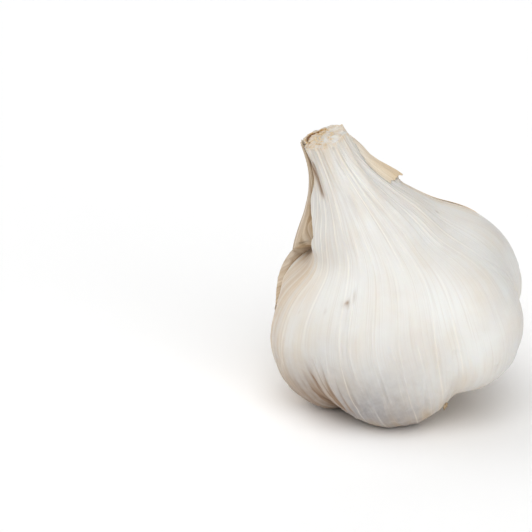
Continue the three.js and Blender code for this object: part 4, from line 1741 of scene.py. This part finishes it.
@dataclass
class RootPlate:
    """The corky plate under the bulb, with the trimmed roots that Geometry Nodes grow on it."""

    lay: BulbLay
    radius: float = 7.6
    top: float = 4.2
    thick: float = 1.7
    around: int = 120
    roots: int = 130
    rooted_share: float = 0.92
    root_radius: float = 0.34
    shortest: float = 0.7
    longest: float = 2.6
    sunk: float = 0.35
    splay: float = 34.0
    golden_turn: float = 137.5
    spin: float = 6.28
    bend: tuple[float, float, float] = (0.0011, 0.0011, 0.0003)
    seed: int = 7

    def plate(self) -> Piece:
        """Makes the bare plate, uneven below.

        Returns:
            The object.
        """
        azimuth = np.arange(self.around) * 360.0 / self.around
        turn, under = np.radians(azimuth), self.top - self.thick
        rings = []
        for share, up in PLATE_PROFILE:
            uneven = Ripple(91, (3, 24), (4.0, 9.0)).at(azimuth, 9.0 * share)
            r = self.radius * share * (1.0 + 0.012 * uneven)
            z = under + up + 0.1 * uneven * (up < 1.5)
            rings.append(polar(turn, r, z))
        ends = np.array([[0.0, 0.0, under + 0.4], [0.0, 0.0, self.top]])
        points = np.concatenate([ends[:1], *rings, ends[1:]])
        faces = ring_faces(len(PLATE_PROFILE), self.around)
        return make_piece("root_plate_cork", self.lay.place(points), faces, {})

    def root_graph(self) -> Graph:
        """Sets roots on the plate, in the part's frame and in metres.

        Returns:
            The node group's graph, which takes a material and a seed in too.
        """
        graph = Graph.of_geometry("trimmed_roots")
        count, plate, radius, shortest, longest, seed, material = (
            graph.size(*given)
            for given in (
                ("Root Count", "Int", self.roots),
                ("Plate Radius", "Float", self.radius * self.rooted_share * MM),
                ("Root Radius", "Float", self.root_radius * MM),
                ("Shortest", "Float", self.shortest),
                ("Longest", "Float", self.longest),
                ("Seed", "Int", self.seed),
                ("Material", "Material"),
            )
        )
        index = graph.add("GeometryNodeInputIndex")
        turned, longer, stout, nodding, tilting, spun = (
            graph.chance(index + (seed + 300.0 * draw)) for draw in range(6)
        )
        out = plate * ((index + 0.5) / count).math("SQRT")
        turn = index * math.radians(self.golden_turn) + turned * 0.5
        spot = graph.joined(out * turn.math("COSINE"), out * turn.math("SINE"), 0.0)
        points = graph.add("GeometryNodePoints", {"Count": count, "Position": spot})
        sizes = {"Radius Top": radius, "Radius Bottom": radius, "Depth": MM}
        stub = graph.add(
            "GeometryNodeMeshCone",
            {"Vertices": 7, "Side Segments": 4, **sizes},
            fill_type="TRIANGLE_FAN",
        )
        down = {"Rotation": (math.pi, 0.0, 0.0), "Translation": (0.0, 0.0, self.sunk * MM)}
        hung = graph.add("GeometryNodeTransform", {"Geometry": stub, **down})

        right, back, _ = graph.parts(graph.add("GeometryNodeInputPosition"))
        lean, under = math.radians(self.lay.lean), self.top - self.thick
        above_floor = under - self.lay.rest_level / math.cos(lean) - self.sunk
        room = right * math.tan(lean) / MM + above_floor
        length = (shortest + (longest - shortest) * longer).at_most(room).at_least(0.4)
        stout = 0.65 + stout * 0.6
        nod = back * self.splay + (nodding - 0.5) * 0.5
        tilt = -(right * self.splay) + (tilting - 0.5) * 0.5
        set_out = graph.add(
            "GeometryNodeInstanceOnPoints",
            {
                "Points": points,
                "Instance": hung,
                "Rotation": graph.joined(nod, tilt, spun * self.spin),
                "Scale": graph.joined(stout, stout, length),
            },
        )
        real = graph.add("GeometryNodeRealizeInstances", {"Geometry": set_out})
        noise = graph.noise(graph.add("GeometryNodeInputPosition"), 520.0, 1.0).other(1)
        shift = graph.vector("MULTIPLY", graph.vector("SUBTRACT", noise, (0.5,) * 3), self.bend)
        crooked = graph.add("GeometryNodeSetPosition", {"Geometry": real, "Offset": shift})
        foot = self.lay.moved(np.array([0.0, 0.0, under + self.sunk])) * MM
        lie = {"Rotation": (0.0, -lean, 0.0), "Translation": tuple(foot.tolist())}
        leant = graph.add("GeometryNodeTransform", {"Geometry": crooked, **lie})
        joined = graph.add("GeometryNodeJoinGeometry", {0: [graph.geometry, leant]})
        graph.finish_geometry(joined, material)
        return graph

    def build(self, material: Material) -> Piece:
        """Makes the plate with its roots, in the corky finish."""
        return grow(self.plate(), self.root_graph(), {"Material": material, "Seed": self.seed})


# ---- The studio ----


@dataclass
class Studio:
    """A pale floor, soft lights and the camera.

    Each light has a name, the direction in which it hangs, how wide it is seen, and its strength.
    """

    lights: tuple[tuple[str, tuple[float, float, float], float, float], ...] = (
        ("key_light", (0.16, -0.78, 0.95), 62.0, 1.65),
        ("top_light", (-0.5, -0.2, 0.9), 90.0, 0.9),
        ("rim_light", (-0.85, 0.5, 0.5), 60.0, 0.8),
        ("back_light", (0.1, 0.95, 0.5), 60.0, 0.5),
        ("side_light", (0.75, -0.8, 0.12), 40.0, 0.6),
    )
    sky: float = 0.18
    gamma: float = 0.84
    half_floor: float = 4.0
    neck: tuple[float, float, float] = (-0.01862, -0.00055, 0.07023)
    aside: float = 0.0145
    above: float = 0.03125
    elevation: float = 22.0
    distance: float = 0.55
    field: float = 0.133
    sensor: float = 36.0

    def build(self) -> None:
        """Makes everything that the bulb is seen with."""
        self.floor()
        for light in self.lights:
            self.light(*light)
        self.surroundings()
        self.camera()
        shown = bpy.context.scene.view_settings
        shown.view_transform, shown.gamma = "Standard", self.gamma

    def floor(self) -> None:
        """The floor, wide enough for every view."""
        square = np.array([(-1.0, -1.0, 0.0), (1.0, -1.0, 0.0), (1.0, 1.0, 0.0), (-1.0, 1.0, 0.0)])
        ground = make_piece("pale_floor", square * self.half_floor, [(0, 1, 2, 3)], {})
        ground.data.materials.append(PaleFloor().material())

    @staticmethod
    def light(name: str, towards: tuple[float, float, float], spread: float, power: float) -> None:
        """Hangs one far soft light, which is even over the whole floor.

        Args:
            name: its name.
            towards: the direction in which it hangs.
            spread: how wide it is seen from the bulb, in degrees.
            power: its strength.
        """
        lamp = bpy.data.lights.new(name, "SUN")
        lamp.angle, lamp.energy = math.radians(spread), power
        holder = bpy.data.objects.new(name, lamp)
        turned = (-Vector(towards)).to_track_quat("-Z", "Y").to_matrix().to_4x4()
        holder.matrix_world = Matrix.Translation(Vector(towards)) @ turned
        bpy.context.scene.collection.objects.link(holder)

    def surroundings(self) -> None:
        """An even white sky."""
        world = bpy.data.worlds.new("soft_surroundings")
        graph = Graph.inside(world)
        inputs = {"Color": (1.0, 1.0, 1.0, 1.0), "Strength": self.sky}
        graph.add("ShaderNodeOutputWorld", {"Surface": graph.add("ShaderNodeBackground", inputs)})
        bpy.context.scene.world = world

    def camera(self) -> None:
        """The camera, set so that the neck falls where it should in the frame."""
        tilt = math.radians(self.elevation)
        up = Vector((0.0, math.sin(tilt), math.cos(tilt)))
        forward = Vector((0.0, math.cos(tilt), -math.sin(tilt)))
        place = Vector(self.neck) - Vector((self.aside, 0.0, 0.0)) - up * self.above
        place -= forward * self.distance
        lens = bpy.data.cameras.new("camera")
        lens.sensor_width, lens.lens = self.sensor, self.sensor * self.distance / self.field
        lens.clip_start, lens.clip_end = 0.02, 20.0
        holder = bpy.data.objects.new("camera", lens)
        turned = Matrix.Rotation(math.pi / 2 - tilt, 4, "X")
        holder.matrix_world = Matrix.Translation(place) @ turned
        bpy.context.scene.collection.objects.link(holder)
        bpy.context.scene.camera = holder


# ---- The whole bulb ----


def tell(piece: Piece) -> None:
    """Logs a piece's name and how many triangles it has."""
    triangles = sum(len(face.vertices) - 2 for face in piece.data.polygons)
    log.info("%s: %d vertices, %d triangles", piece.name, len(piece.data.vertices), triangles)


def settle(piece: Piece, node: str | None = None) -> None:
    """Hands a finished piece to the frame.

    Args:
        piece: the object.
        node: the solid that it stands for, if it stands for one.
    """
    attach(piece, BODY)
    if node:
        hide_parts(node)
    tell(piece)


def main() -> None:
    """Builds the bulb's pieces in order, then the studio."""
    logging.basicConfig(level=logging.INFO, format="%(name)s %(message)s")
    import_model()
    form, lay = BulbForm(), BulbLay()
    skin = WhiteSkin(form, lay)
    tan = TAN_SKIN.material()
    settle(skin.build(WHITE_SKIN.material()), "bulb")
    settle(OuterWrapper(skin).build(tan), "outer_wrapper")
    rolls = NeckSheaths(form, lay).build(DRIED_SHEATH.material())
    settle(rolls[0], "neck_sheaths")
    for leaf in rolls[1:]:
        settle(leaf)
    for scrap in TornFlakes(skin).build(tan):
        settle(scrap)
    settle(RootPlate(lay).build(ROOT_CORK.material()), "root_plate")
    Studio().build()


if __name__ == "__main__":
    main()
